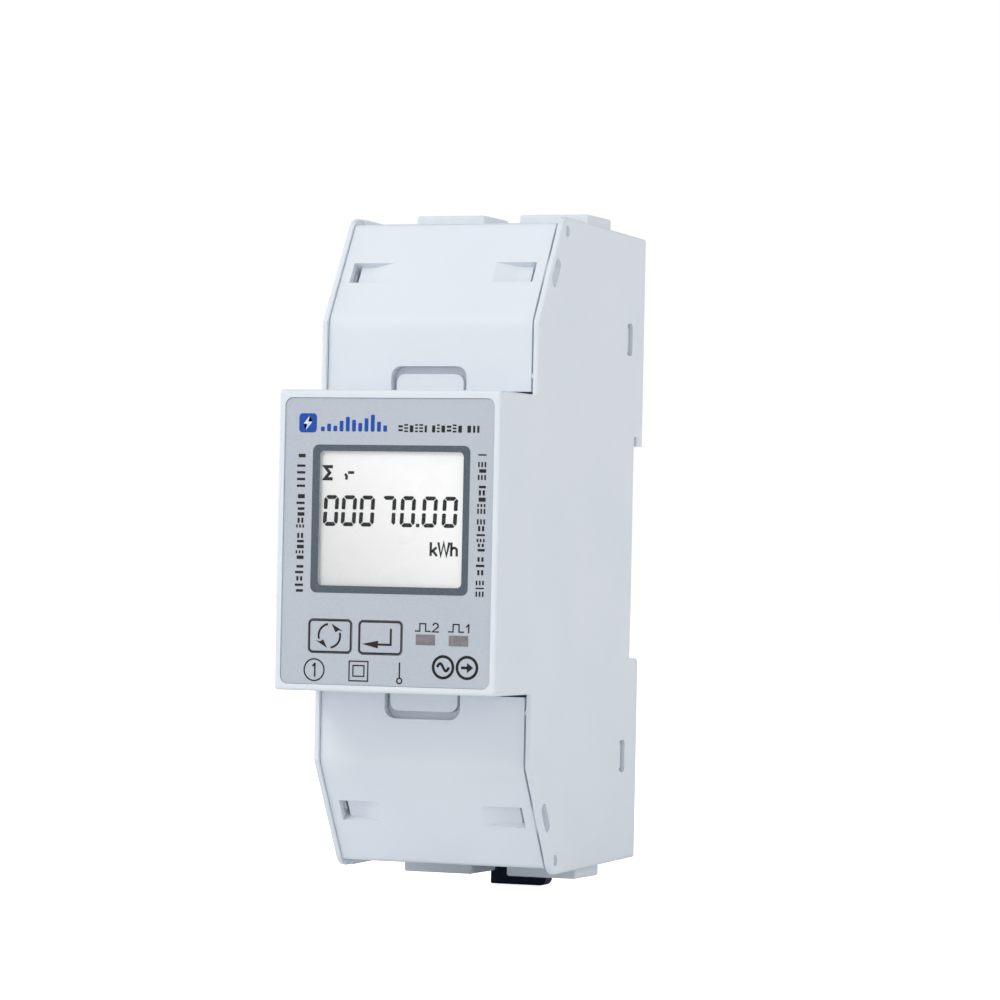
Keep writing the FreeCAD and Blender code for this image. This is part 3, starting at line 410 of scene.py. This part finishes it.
def moulded_chip(name, color, is_body, dot=None):
    """Epoxy body with tinned legs outside it; is_body and dot give 1 where each one is."""
    look = Look(name, color, 0.55)
    paler = tuple(min(1, 1.7 * c) for c in color[:3]) + (1,)
    look.vary(paler, look.span(look.noise(0.35, 3), 0.5, 0.75, 0, 0.6))
    if dot:
        look.vary((0.35, 0.35, 0.34, 1), dot(look))
    look.bare(TINNED, look.math("SUBTRACT", 1.0, is_body(look)))
    look.rough(look.noise(0.5, 3), 0.42, 0.62)
    look.emboss(look.noise(0.2, 3), 0.25, 0.02)
    return look


def square(look, x, z, half):
    """1 inside a square about (x, z)."""
    across = look.math("ABSOLUTE", look.math("SUBTRACT", look.axis("X"), x))
    up = look.math("ABSOLUTE", look.math("SUBTRACT", look.axis("Z"), z))
    return look.math("LESS_THAN", look.math("MAXIMUM", across, up), half)


def round_spot(look, x, z, radius):
    across = look.math("POWER", look.math("SUBTRACT", look.axis("X"), x), 2)
    up = look.math("POWER", look.math("SUBTRACT", look.axis("Z"), z), 2)
    return look.math("LESS_THAN", look.math("ADD", across, up), radius * radius)


def chip_black():
    """Both the metering chip and the square controller."""

    def body(look):
        x, half = METERING_CHIP
        narrow = look.between(look.axis("X"), x - half, x + half)
        return look.math("MAXIMUM", narrow, square(look, *CONTROLLER))

    def dot(look):
        return look.math("MAXIMUM", *(round_spot(look, x, z, DOT_RADIUS) for x, z in CHIP_DOTS))

    return moulded_chip("chip_black", (0.018, 0.018, 0.02, 1), body, dot)


def coupler_white():
    def body(look):
        shift, spacing, half = COUPLERS
        step = look.math("FLOORED_MODULO", look.math("ADD", look.axis("X"), shift), spacing)
        return look.between(step, spacing / 2 - half, spacing / 2 + half)

    return moulded_chip("coupler_white", (0.55, 0.55, 0.52, 1), body)


def connector_white():
    look = Look("connector_white", (0.72, 0.70, 0.63, 1), 0.42)
    look.vary((0.66, 0.63, 0.55, 1), look.span(look.noise(2.5, 2), 0.4, 0.7))
    look.rough(look.noise(0.8, 2), 0.34, 0.5)
    look.emboss(look.noise(0.25, 2), 0.15, 0.02)
    return look


def ribbon_grey():
    """Flat cable: moulded ribs over the wires, with painted shade in the grooves between them; the first
    wire is marked red.
    """
    look = Look("ribbon_grey", (0.42, 0.43, 0.44, 1), 0.45)
    ribs = look.math("SINE", look.math("MULTIPLY", look.axis("X"), 2 * math.pi / RIBBON_WIRE))
    # painted shade: darker in the grooves between the ribs
    look.vary((0.33, 0.34, 0.35, 1), look.span(ribs, -1, -0.2, 1, 0))
    look.vary((0.42, 0.04, 0.03, 1), look.math("LESS_THAN", look.axis("X"), RIBBON_MARK))
    look.rough(look.noise(1.2, 2), 0.38, 0.5)
    look.emboss(ribs, 0.6, 0.12)
    return look


def capacitor_blue():
    """Film capacitor in a moulded box, with tinned leads behind the board."""
    look = Look("capacitor_blue", (0.02, 0.10, 0.34, 1), 0.36)
    look.vary((0.03, 0.14, 0.42, 1), look.span(look.noise(1.2, 3), 0.4, 0.7))
    look.bare(TINNED, look.math("GREATER_THAN", look.axis("Y"), FILM_LEADS))
    look.rough(look.noise(0.8, 2), 0.3, 0.44)
    look.emboss(look.noise(0.4, 2), 0.12, 0.03)
    return look


def capacitor_sleeve():
    """Shrink sleeve with a pale polarity stripe round an aluminium can whose end shows."""
    look = Look("capacitor_sleeve", (0.03, 0.025, 0.06, 1), 0.34)
    dashes = look.math("GREATER_THAN", look.math("SINE", look.math("MULTIPLY", look.axis("Y"), 2.6)), -0.3)
    look.vary((0.42, 0.42, 0.46, 1), look.math("GREATER_THAN", look.axis("X"), CAN_STRIPE))
    marks = look.math("MULTIPLY", look.math("GREATER_THAN", look.axis("X"), CAN_MARKS), dashes)
    look.vary((0.05, 0.05, 0.07, 1), marks)
    look.bare((0.72, 0.72, 0.73, 1), look.math("SUBTRACT", 1.0, look.between(look.axis("Y"), *CAN_ENDS)))
    look.rough(look.noise(0.9, 2), 0.26, 0.42)
    look.emboss(look.noise(0.9, 2), 0.1, 0.05)
    return look


def varistor_blue():
    look = Look("varistor_blue", (0.03, 0.16, 0.38, 1), 0.3)
    look.vary((0.02, 0.11, 0.30, 1), look.span(look.noise(1.4, 3), 0.4, 0.7))
    look.bare(TINNED, look.math("GREATER_THAN", look.axis("Y"), VARISTOR_LEADS))
    look.rough(look.noise(1.1, 2), 0.2, 0.4)
    look.emboss(look.noise(0.8, 3), 0.3, 0.12)
    return look


def ferrite():
    """Dark sintered core, with yellow tape on the bobbin that fills its window."""
    look = Look("ferrite", (0.045, 0.043, 0.045, 1), 0.5)
    look.vary((0.09, 0.085, 0.085, 1), look.span(look.noise(0.5, 4), 0.5, 0.75))
    upward = look.between(look.axis("Z"), *BOBBIN_Z)
    inward = look.between(look.axis("Y"), *BOBBIN_Y)
    look.vary((0.80, 0.55, 0.08, 1), look.math("MULTIPLY", upward, inward))
    look.rough(look.noise(0.7, 3), 0.38, 0.6)
    look.emboss(look.noise(0.3, 3), 0.3, 0.04)
    return look


def block_green():
    look = Look("block_green", (0.03, 0.30, 0.10, 1), 0.42)
    look.vary((0.02, 0.25, 0.08, 1), look.span(look.noise(3.0, 2), 0.4, 0.7))
    look.rough(look.noise(0.8, 2), 0.34, 0.5)
    look.emboss(look.noise(0.25, 2), 0.15, 0.02)
    return look


SLOTS = {
    f.__name__: f
    for f in (
        housing_white,
        clip_black,
        zinc_steel,
        clamp_steel,
        spring_steel,
        tinned_pins,
        can_steel,
        bar_brass,
        shunt_alloy,
        label_foil,
        key_grey,
        window_clear,
        display_glass,
        light_guide,
        frame_grey,
        light_pipe,
        led_body,
        switch_black,
        circuit_board,
        chip_black,
        coupler_white,
        connector_white,
        ribbon_grey,
        capacitor_blue,
        capacitor_sleeve,
        varistor_blue,
        ferrite,
        block_green,
    )
}

made_looks = {}
for row in frame["record"]["subparts"]:
    slot = row["material_slot"]
    if slot not in made_looks:
        made_looks[slot] = SLOTS[slot]().material
    piece = frame["nodes"][row["node"]]
    if not piece.material_slots:
        piece.data.materials.append(made_looks[slot])
    for place in piece.material_slots:
        place.material = made_looks[slot]


# ---- inks -----------------------------------------------------------------------------------------
def ink(name, color, roughness=0.45):
    """Printed ink with the slight mottle of screen printing."""
    look = Look(name, color, roughness, Specular_IOR_Level=0.3)
    paler = tuple(min(1, 1.35 * c + 0.004) for c in color[:3]) + (1,)
    look.vary(paler, look.span(look.noise(0.25, 3), 0.45, 0.75))
    look.rough(look.noise(0.4, 2), roughness - 0.06, roughness + 0.06)
    return look.material


INK_DARK = ink("ink_dark", (0.017, 0.010, 0.010, 1))
INK_FRAME = ink("ink_frame", (0.078, 0.103, 0.130, 1), 0.38)
INK_BLUE = ink("ink_blue", (0.004, 0.060, 0.36, 1))
INK_PALE = ink("ink_pale", (0.62, 0.66, 0.72, 1))
INK_BLACK = ink("ink_black", (0.004, 0.004, 0.004, 1))
SEGMENT_BLACK = ink("segment_black", (0.003, 0.003, 0.0035, 1), 0.4)


# ---- drawing flat marks with a real thickness -----------------------------------------------------
def add_object(name, data):
    made = bpy.data.objects.new(name, data)
    bpy.context.scene.collection.objects.link(made)
    return made


def add_piece(name, mesh, material):
    """Turns a finished bmesh into an object with one material."""
    data = bpy.data.meshes.new(name)
    mesh.to_mesh(data)
    mesh.free()
    data.materials.append(material)
    return add_object(name, data)


def arc(x, z, radius, start, end, count=24):
    """Points on an arc, angles in degrees from +x towards +z, both ends included."""
    angles = [math.radians(start + (end - start) * i / (count - 1)) for i in range(count)]
    return [Vector((x + radius * math.cos(a), z + radius * math.sin(a))) for a in angles]


def circle(x, z, radius, count=48):
    return arc(x, z, radius, 0, 360 - 360 / count, count)


def rounded(x, z, width, height, radius, count=8):
    """Loop round a rectangle with rounded corners."""
    points = []
    for turn, (side_x, side_z) in enumerate(((1, 1), (-1, 1), (-1, -1), (1, -1))):
        corner_x = x + side_x * (width / 2 - radius)
        corner_z = z + side_z * (height / 2 - radius)
        points += arc(corner_x, corner_z, radius, 90 * turn, 90 * turn + 90, count)
    return points


SHARPEST_MITRE = 0.45  # keeps sharp corners from growing long points


def edges_of_line(points, width):
    """Points left and right of a line, mitred at its corners."""
    points = [Vector(p) for p in points]
    left, right = [], []
    for i, here in enumerate(points):
        ways = []
        if i > 0:
            ways.append((here - points[i - 1]).normalized())
        if i < len(points) - 1:
            ways.append((points[i + 1] - here).normalized())
        along = sum(ways, Vector((0, 0))).normalized()
        across = Vector((-along.y, along.x))
        square_to_first = Vector((-ways[0].y, ways[0].x))
        reach = width / 2 / max(SHARPEST_MITRE, across.dot(square_to_first))
        left.append(here + across * reach)
        right.append(here - across * reach)
    return left, right


SUNK = 0.005  # how far a mark's back lies inside the surface that carries it


class Print:
    """Marks drawn in x and z millimetres on a plane of constant y, raised by a thickness."""

    def __init__(self, plane, thick=INK, lean=0.0):
        self.mesh = bmesh.new()
        self.front = plane - thick
        self.back = plane + SUNK
        self.lean = lean

    def corner(self, point, y):
        return self.mesh.verts.new(((point[0] + self.lean * point[1]) * MM, y * MM, point[1] * MM))

    def band(self, first, second, closed=True):
        """Strip between two lines with equally many points."""
        rows = []
        for one, two in zip(first, second):
            pairs = ((one, self.front), (two, self.front), (two, self.back), (one, self.back))
            rows.append([self.corner(point, y) for point, y in pairs])
        following = rows[1:] + rows[:1] if closed else rows[1:]
        for here, there in zip(rows, following):
            for i in range(4):
                k = (i + 1) % 4
                self.mesh.faces.new((here[i], here[k], there[k], there[i]))
        if not closed:
            self.mesh.faces.new(rows[0])
            self.mesh.faces.new(rows[-1][::-1])

    def line(self, points, width):
        self.band(*edges_of_line(points, width), closed=False)

    def fill(self, points):
        """Solid shape inside a loop."""
        front = [self.corner(p, self.front) for p in points]
        back = [self.corner(p, self.back) for p in points]
        count = len(points)
        for i in range(count):
            k = (i + 1) % count
            self.mesh.faces.new((front[i], front[k], back[k], back[i]))
        faces = [self.mesh.faces.new(front), self.mesh.faces.new(back[::-1])]
        bmesh.ops.triangulate(self.mesh, faces=faces)

    def ring(self, x, z, radius, width):
        self.band(circle(x, z, radius + width / 2), circle(x, z, radius - width / 2))

    def frame(self, x, z, width, height, radius, line):
        """Rounded rectangle drawn with a line just inside its outline."""
        self.band(
            rounded(x, z, width, height, radius),
            rounded(x, z, width - 2 * line, height - 2 * line, max(0.05, radius - line)),
        )

    def done(self, name, material, body):
        """Ends the drawing as one piece that rides on a body."""
        bmesh.ops.recalc_face_normals(self.mesh, faces=self.mesh.faces)
        made = add_piece(name, self.mesh, material)
        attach(made, body)


# ---- display --------------------------------------------------------------------------------------
def printed_frame():
    page = Print(LABEL_PLANE)
    page.band(rounded(*DISPLAY_OUTER, 10), rounded(*DISPLAY_INNER, 10))
    page.done("print_display_frame", INK_FRAME, "housing")


DIGIT_WIDTH = 2.42
DIGIT_LOW = 2.18
DIGIT_HIGH = 6.84
SEGMENT = 0.6
CHAMFER = 0.55
CORNER_GAP = 0.12
MIDDLE_GAP = 0.4
SEGMENTS = {0: "abcdef", 7: "abc"}
READING = ((0, -9.5), (0, -6.56), (0, -3.6), (7, -0.12), (0, 3.06), (0, 6.6), (0, 9.85))  # digit, its x


def segment(page, letter, low_x, high_x):
    """One bar of a seven-segment digit, cut diagonally where it meets its neighbours."""
    middle = (DIGIT_LOW + DIGIT_HIGH) / 2
    half_x = (high_x - low_x) / 2
    half_z = (DIGIT_HIGH - DIGIT_LOW) / 2
    slip = CORNER_GAP / 2 * math.sqrt(0.5)
    if letter in "ad":
        points = [
            (-half_x + CHAMFER / 2 + slip, half_z - CHAMFER / 2 + slip),
            (-half_x + CHAMFER, half_z),
            (half_x - CHAMFER, half_z),
            (half_x - CHAMFER / 2 - slip, half_z - CHAMFER / 2 + slip),
            (half_x - SEGMENT - 2 * slip, half_z - SEGMENT),
            (-half_x + SEGMENT + 2 * slip, half_z - SEGMENT),
        ]
        flip_x, flip_z = 1, 1 if letter == "a" else -1
    else:
        points = [
            (half_x - CHAMFER / 2 + slip, half_z - CHAMFER / 2 - slip),
            (half_x, half_z - CHAMFER),
            (half_x, MIDDLE_GAP / 2 + 0.12),
            (half_x - 0.16, MIDDLE_GAP / 2),
            (half_x - SEGMENT + 0.1, MIDDLE_GAP / 2),
            (half_x - SEGMENT, MIDDLE_GAP / 2 + 0.12),
            (half_x - SEGMENT, half_z - SEGMENT - 2 * slip),
        ]
        flip_x = 1 if letter in "bc" else -1
        flip_z = 1 if letter in "bf" else -1
    page.fill([(low_x + half_x + flip_x * x, middle + flip_z * z) for x, z in points])


def digits():
    """Leaning digits, with a point before the last two."""
    lean = math.tan(math.radians(2.6))
    page = Print(GLASS_PLANE, DIGIT_INK, lean)
    shift = lean * (DIGIT_LOW + DIGIT_HIGH) / 2
    for value, x in READING:
        for letter in SEGMENTS[value]:
            segment(page, letter, x - shift - DIGIT_WIDTH / 2, x - shift + DIGIT_WIDTH / 2)
    page.fill(rounded(4.7 - lean * 2.5, 2.47, 0.54, 0.54, 0.14, 4))
    page.done("display_digits", SEGMENT_BLACK, "housing")


def display_signs():
    """Sum sign, quadrant mark and unit."""
    page = Print(GLASS_PLANE, DIGIT_INK)
    left, right, low, high = -10.61, -9.34, 9.3, 11.12
    middle = (low + high) / 2
    page.line([(right, high), (left, high), (right - 0.5, middle), (left, low), (right, low)], 0.5)
    page.line([(-6.8, 10.28), (-5.82, 10.28)], 0.42)
    page.line([(-7.3, 10.08), (-7.02, 9.72), (-7.1, 9.2)], 0.4)
    page.done("display_signs", SEGMENT_BLACK, "housing")
    unit = Print(GLASS_PLANE, DIGIT_INK)
    low, high, line = -2.06, 0.0, 0.36
    tall = low + 1.3
    unit.line([(6.89, low), (6.89, high)], line)
    unit.line([(7.83, tall), (7.01, low + 0.62)], line)
    unit.line([(7.23, low + 0.8), (7.9, low)], line)
    unit.line(
        [(8.1, high), (8.53, low + 0.06), (8.98, high - 0.1), (9.43, low + 0.06), (9.87, high)],
        line,
    )
    unit.line([(10.21, low), (10.21, high)], line)
    unit.line([(10.21, low + 0.85), *arc(10.67, low + 0.85, 0.42, 150, 0, 9), (11.09, low)], line)
    unit.done("display_unit", SEGMENT_BLACK, "housing")


# ---- keys -----------------------------------------------------------------------------------------
def key_frame(page, x, z):
    page.frame(x, z, *KEY_FRAME)


def scroll_marks():
    """Two arrows that chase each other round a circle."""
    page = Print(LABEL_PLANE)
    key_frame(page, *SCROLL_KEY)
    x, z, radius = -9.08, -14.38, 1.77
    for turn in (0, 180):
        spin = Matrix.Rotation(math.radians(turn), 2)

        def placed(points):
            return [spin @ Vector(p) + Vector((x, z)) for p in points]

        page.line(placed(arc(0, 0, radius, 98, 196, 20)), 0.32)
        page.fill(placed([(-2.25, -0.72), (-1.5, -0.86), (-1.0, -0.54), (-0.33, -1.85)]))
    page.done("print_scroll_key", INK_DARK, "scroll_button")


def enter_marks():
    """Bent arrow that points left."""
    page = Print(LABEL_PLANE)
    key_frame(page, *ENTER_KEY)
    page.line([(0.96, -13.09), (0.96, -15.5), (-1.15, -15.5)], 0.33)
    page.fill([(-1.08, -14.93), (-1.13, -16.09), (-3.69, -15.46)])
    page.done("print_enter_key", INK_DARK, "enter_button")


# ---- symbols and greeked fields on the label ------------------------------------------------------
def numeral_one(page, x, low, high, line):
    page.line([(x, low), (x, high)], line)
    page.line([(x, high - 0.12), (x - 0.42, high - 0.5)], line)


def symbols():
    page = Print(LABEL_PLANE)
    page.ring(-11.48, -19.55, 1.63, 0.22)
    numeral_one(page, -11.36, -20.6, -18.5, 0.26)
    page.frame(-4.2, -19.57, 3.25, 3.15, 0.08, 0.2)
    page.frame(-4.2, -19.54, 2.0, 1.8, 0.08, 0.2)
    page.line([(2.47, -18.1), (2.47, -20.4)], 0.24)
    page.ring(2.47, -20.85, 0.4, 0.22)
    page.done("print_symbols", INK_DARK, "housing")


def pulse_marks():
    """A pulse shape with its number over each light."""
    page = Print(LABEL_PLANE)
    for x in (4.83, 10.2):
        steps = [(0, -13.32), (0.8, -13.32), (0.8, -12.2), (1.75, -12.2), (1.75, -13.32), (2.55, -13.32)]
        page.line([(x + step, z) for step, z in steps], 0.2)
    page.line([*arc(8.17, -12.52, 0.42, 170, -20, 12), (7.68, -13.38), (8.72, -13.38)], 0.22)
    numeral_one(page, 13.5, -13.48, -12.08, 0.22)
    page.done("print_pulse_marks", INK_DARK, "housing")


def badge():
    """Plain badge: a rounded tile with a spark, then bars like a day's consumption."""
    page = Print(LABEL_PLANE)
    x, z = -13.3, 17.7
    page.fill(rounded(x, z, 2.9, 2.9, 0.55))
    heights = (0.7, 1.15, 0.85, 1.6, 2.2, 1.75, 1.3, 2.0, 2.55, 1.5, 0.95)
    for i, height in enumerate(heights):
        page.fill(rounded(x + 2.45 + i * 1.02, z - 1.25 + height / 2, 0.62, height, 0.16, 4))
    page.done("print_badge", INK_BLUE, "housing")
    spark = Print(LABEL_PLANE, 2 * INK)
    points = [(0.25, 1.1), (-0.75, -0.15), (-0.1, -0.15), (-0.35, -1.1), (0.7, 0.2), (0.05, 0.2)]
    spark.fill([(x + right, z + up) for right, up in points])
    spark.done("print_badge_spark", INK_PALE, "housing")


GREEK_SHAPES = {
    "b": ((0.42, 0.8, 0.84),),  # low block
    "s": ((0.5, 0.46, 1.0),),  # slim block
    "d": ((0.24, 1.0, 0.26), (0.7, 1.0, 0.26)),  # double dash
    "c": ((0.12, 1.0, 0.2), (0.5, 1.0, 0.2), (0.88, 1.0, 0.2)),  # three dashes
}


def greeked(length, height, seed):
    """Word-like runs along x from 0, of plain blocks and stacked dashes, none of which is a letter.
    Each mark is (x, z, width, height), and each shape's bars are (z, width, height) as shares."""
    pick = random.Random(seed)
    marks = []
    at = 0.0
    while at < length - 0.5 * height:
        for _ in range(pick.randint(3, 6)):
            width = height * pick.choice((0.36, 0.5, 0.58))
            if at + width > length:
                break
            for level, share, tall in GREEK_SHAPES[pick.choice("bbsdc")]:
                marks.append((at + width / 2, height * level, width * share, height * tall))
            at += width + 0.17 * height
        at += 0.42 * height
    return marks


def field(name, x, z, length, height, upright, seed):
    """One greeked row, or one greeked column that reads upwards."""
    page = Print(LABEL_PLANE)
    for mid, up, width, tall in greeked(length, height, seed):
        if upright:
            page.fill(rounded(x - up, z + mid, tall, width, 0.06, 3))
        else:
            page.fill(rounded(x + mid, z + up, width, tall, 0.06, 3))
    page.done(name, INK_DARK, "housing")


def approval_marks():
    """Two generic rings: one with a sine wave, one with an arrow."""
    page = Print(LABEL_PLANE)
    left, right, z = 9.5, 13.35, -18.62
    half, swing, steps = 0.95, 0.55, 20
    for x in (left, right):
        page.ring(x, z, 1.6, 0.42)
    wave = []
    for i in range(steps + 1):
        wave.append((left - half + 2 * half * i / steps, z + swing * math.sin(2 * math.pi * i / steps)))
    page.line(wave, 0.4)
    page.line([(right - 0.95, z), (right + 0.1, z)], 0.42)
    page.fill([(right, z + 0.75), (right + 1.0, z), (right, z - 0.75)])
    page.done("print_approval_marks", INK_BLACK, "housing")


printed_frame()
digits()
display_signs()
scroll_marks()
enter_marks()
symbols()
pulse_marks()
badge()
approval_marks()
field("print_rating_line", 1.5, 16.4, 14.0, 1.25, False, 11)
field("print_left_column", -13.6, -7.9, 21.8, 1.35, True, 23)
field("print_right_column", 15.8, -8.0, 22.1, 1.35, True, 37)


# ---- clip spring ----------------------------------------------------------------------------------
def coil():
    """The clip's coil with closed ends."""
    low, high, wire, radius, middle = -40.3, -31.0, 0.25, 1.2, 0.95
    turns, steps, around = 8.5, 28, 12
    open_turns = turns - 2
    mesh = bmesh.new()
    rings = []
    for i in range(int(turns * steps) + 1):
        turn = i / steps
        rise = min(max(turn - 1, 0), open_turns) / open_turns
        closed_turns = min(turn, 1) + max(turn - turns + 1, 0)
        z = low + wire + 2 * wire * closed_turns + rise * (high - low - 6 * wire)
        angle = 2 * math.pi * turn
        out = Vector((math.cos(angle), math.sin(angle), 0))
        centre = Vector((0, middle, z)) + radius * out
        ring = []
        for k in range(around):
            tilt = 2 * math.pi * k / around
            point = centre + wire * (math.cos(tilt) * out + math.sin(tilt) * Vector((0, 0, 1)))
            ring.append(mesh.verts.new(point * MM))
        rings.append(ring)
    for here, there in zip(rings, rings[1:]):
        for k in range(around):
            following = (k + 1) % around
            mesh.faces.new((here[k], here[following], there[following], there[k]))
    mesh.faces.new(rings[0][::-1])
    mesh.faces.new(rings[-1])
    bmesh.ops.recalc_face_normals(mesh, faces=mesh.faces)
    made = add_piece("spring_coil", mesh, made_looks["spring_steel"])
    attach(made, "housing")
    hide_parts("clip_spring")
    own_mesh(made)


coil()


# ---- stage ----------------------------------------------------------------------------------------
FLOOR_GLOW = 0.9
FLOOR_BOUNCE = (0.90, 0.92, 0.94, 1)
FLOOR_LIFT = 0.03  # light that the floor adds to its bounce
FLOOR_GAP = 0.0002
FLOOR_RIMS = (0.3, 1.0, 4.0)
FLOOR_SIDES = 96


def white_stage():
    """Large pale floor under the clip, which looks white and lights the model like a pale sheet."""
    look = Look("stage_white", (0.86, 0.86, 0.86, 1), 0.9)
    look.vary((0.84, 0.84, 0.845, 1), look.span(look.noise(300, 2), 0.4, 0.7))
    look.shader.inputs["Emission Color"].default_value = (1, 1, 1, 1)
    look.shader.inputs["Emission Strength"].default_value = FLOOR_GLOW
    dull = look.node("ShaderNodeBsdfDiffuse")
    dull.inputs["Color"].default_value = FLOOR_BOUNCE
    lift = look.node("ShaderNodeEmission")
    lift.inputs["Strength"].default_value = FLOOR_LIFT
    lower = look.node("ShaderNodeAddShader")
    look.join(dull.outputs[0], lower.inputs[0])
    look.join(lift.outputs[0], lower.inputs[1])
    seen = look.node("ShaderNodeLightPath")
    either = look.node("ShaderNodeMixShader")
    look.join(seen.outputs["Is Camera Ray"], either.inputs[0])
    look.join(lower.outputs[0], either.inputs[1])
    look.join(look.shader.outputs[0], either.inputs[2])
    look.join(either.outputs[0], look.output.inputs["Surface"])
    mesh = bmesh.new()
    low = cad_box[0].z - FLOOR_GAP
    middle = mesh.verts.new((0, 0, low))
    rims = []
    for radius in FLOOR_RIMS:
        rims.append([mesh.verts.new((*point, low)) for point in circle(0, 0, radius, FLOOR_SIDES)])
    for i in range(FLOOR_SIDES):
        k = (i + 1) % FLOOR_SIDES
        mesh.faces.new((middle, rims[0][i], rims[0][k]))
        for inner, outer in zip(rims, rims[1:]):
            mesh.faces.new((inner[i], outer[i], outer[k], inner[k]))
    floor = add_piece("stage_floor", mesh, look.material)


LAMP_TARGET = (0, -0.03, 0)
LAMP_SIZE = 0.6
LAMP_COLOR = (1.0, 0.985, 0.97)


def soft_light(name, place, power):
    """Round lamp that points at the meter's front."""
    data = bpy.data.lights.new(name, "AREA")
    data.shape = "DISK"
    data.size = LAMP_SIZE
    data.energy = power
    data.color = LAMP_COLOR
    lamp = add_object(name, data)
    lamp.location = place
    lamp.rotation_mode = "QUATERNION"
    lamp.rotation_quaternion = (Vector(LAMP_TARGET) - Vector(place)).to_track_quat("-Z", "Y")


CAMERA_PLACE = (0.25273, -0.65888, -0.00322)
CAMERA_TURNS = (21.36, -0.86, 1.16)  # yaw to the left, pitch down and roll, in degrees
CAMERA_LENS = 156.2


def camera():
    """Long lens, level with the meter and to its right, rolled by about a degree."""
    data = bpy.data.cameras.new("camera")
    data.lens = CAMERA_LENS
    data.sensor_width = 36.0
    data.clip_start = 0.01
    data.clip_end = 20
    view = add_object("camera", data)
    yaw, pitch, roll = (math.radians(a) for a in CAMERA_TURNS)
    ahead = Vector((-math.sin(yaw) * math.cos(pitch), math.cos(yaw) * math.cos(pitch), -math.sin(pitch)))
    right = Vector((math.cos(yaw), math.sin(yaw), 0))
    up = right.cross(ahead)
    across = right * math.cos(roll) + up * math.sin(roll)
    upward = up * math.cos(roll) - right * math.sin(roll)
    turn = Matrix((across, upward, -ahead)).transposed()
    view.rotation_mode = "QUATERNION"
    view.rotation_quaternion = turn.to_quaternion()
    view.location = CAMERA_PLACE
    bpy.context.scene.camera = view


ROOM_LEVEL = 1.81
ROOM_GROWTH = (0.19, -0.59, -1.68)  # change of level towards the sides, front and back, and the top
ROOM_TINT = (1.0, 0.997, 0.985, 1)


def studio():
    """White room that is the same on both sides and in front and behind, and plain white where seen."""
    world = bpy.data.worlds.new("studio")
    bpy.context.scene.world = world
    room = Nodes(world)
    background = room.tree.nodes["Background"]
    place = room.node("ShaderNodeTexCoord")
    split = room.node("ShaderNodeSeparateXYZ")
    room.join(place.outputs["Generated"], split.inputs[0])
    mirrored = room.node("ShaderNodeCombineXYZ")
    for i in (0, 1):
        room.join(room.math("ABSOLUTE", split.outputs[i]), mirrored.inputs[i])
    room.join(split.outputs[2], mirrored.inputs[2])
    growth = room.node("ShaderNodeVectorMath", operation="DOT_PRODUCT")
    growth.inputs[1].default_value = ROOM_GROWTH
    room.join(mirrored.outputs[0], growth.inputs[0])
    level = room.math("ADD", growth.outputs["Value"], ROOM_LEVEL)
    seen = room.node("ShaderNodeLightPath").outputs["Is Camera Ray"]
    room.join(room.mix(seen, ROOM_TINT, (1, 1, 1, 1)), background.inputs["Color"])
    strength = room.node("ShaderNodeMix")
    room.join(seen, strength.inputs[0])
    room.join(level, strength.inputs[2])
    strength.inputs[3].default_value = 1.0
    room.join(strength.outputs[0], background.inputs["Strength"])


white_stage()
soft_light("key", (-0.35, -0.95, 0.8), 4.8)
soft_light("top", (-0.3, -0.45, 1.25), 2.0)
camera()
studio()
bpy.context.scene.view_settings.view_transform = "Standard"
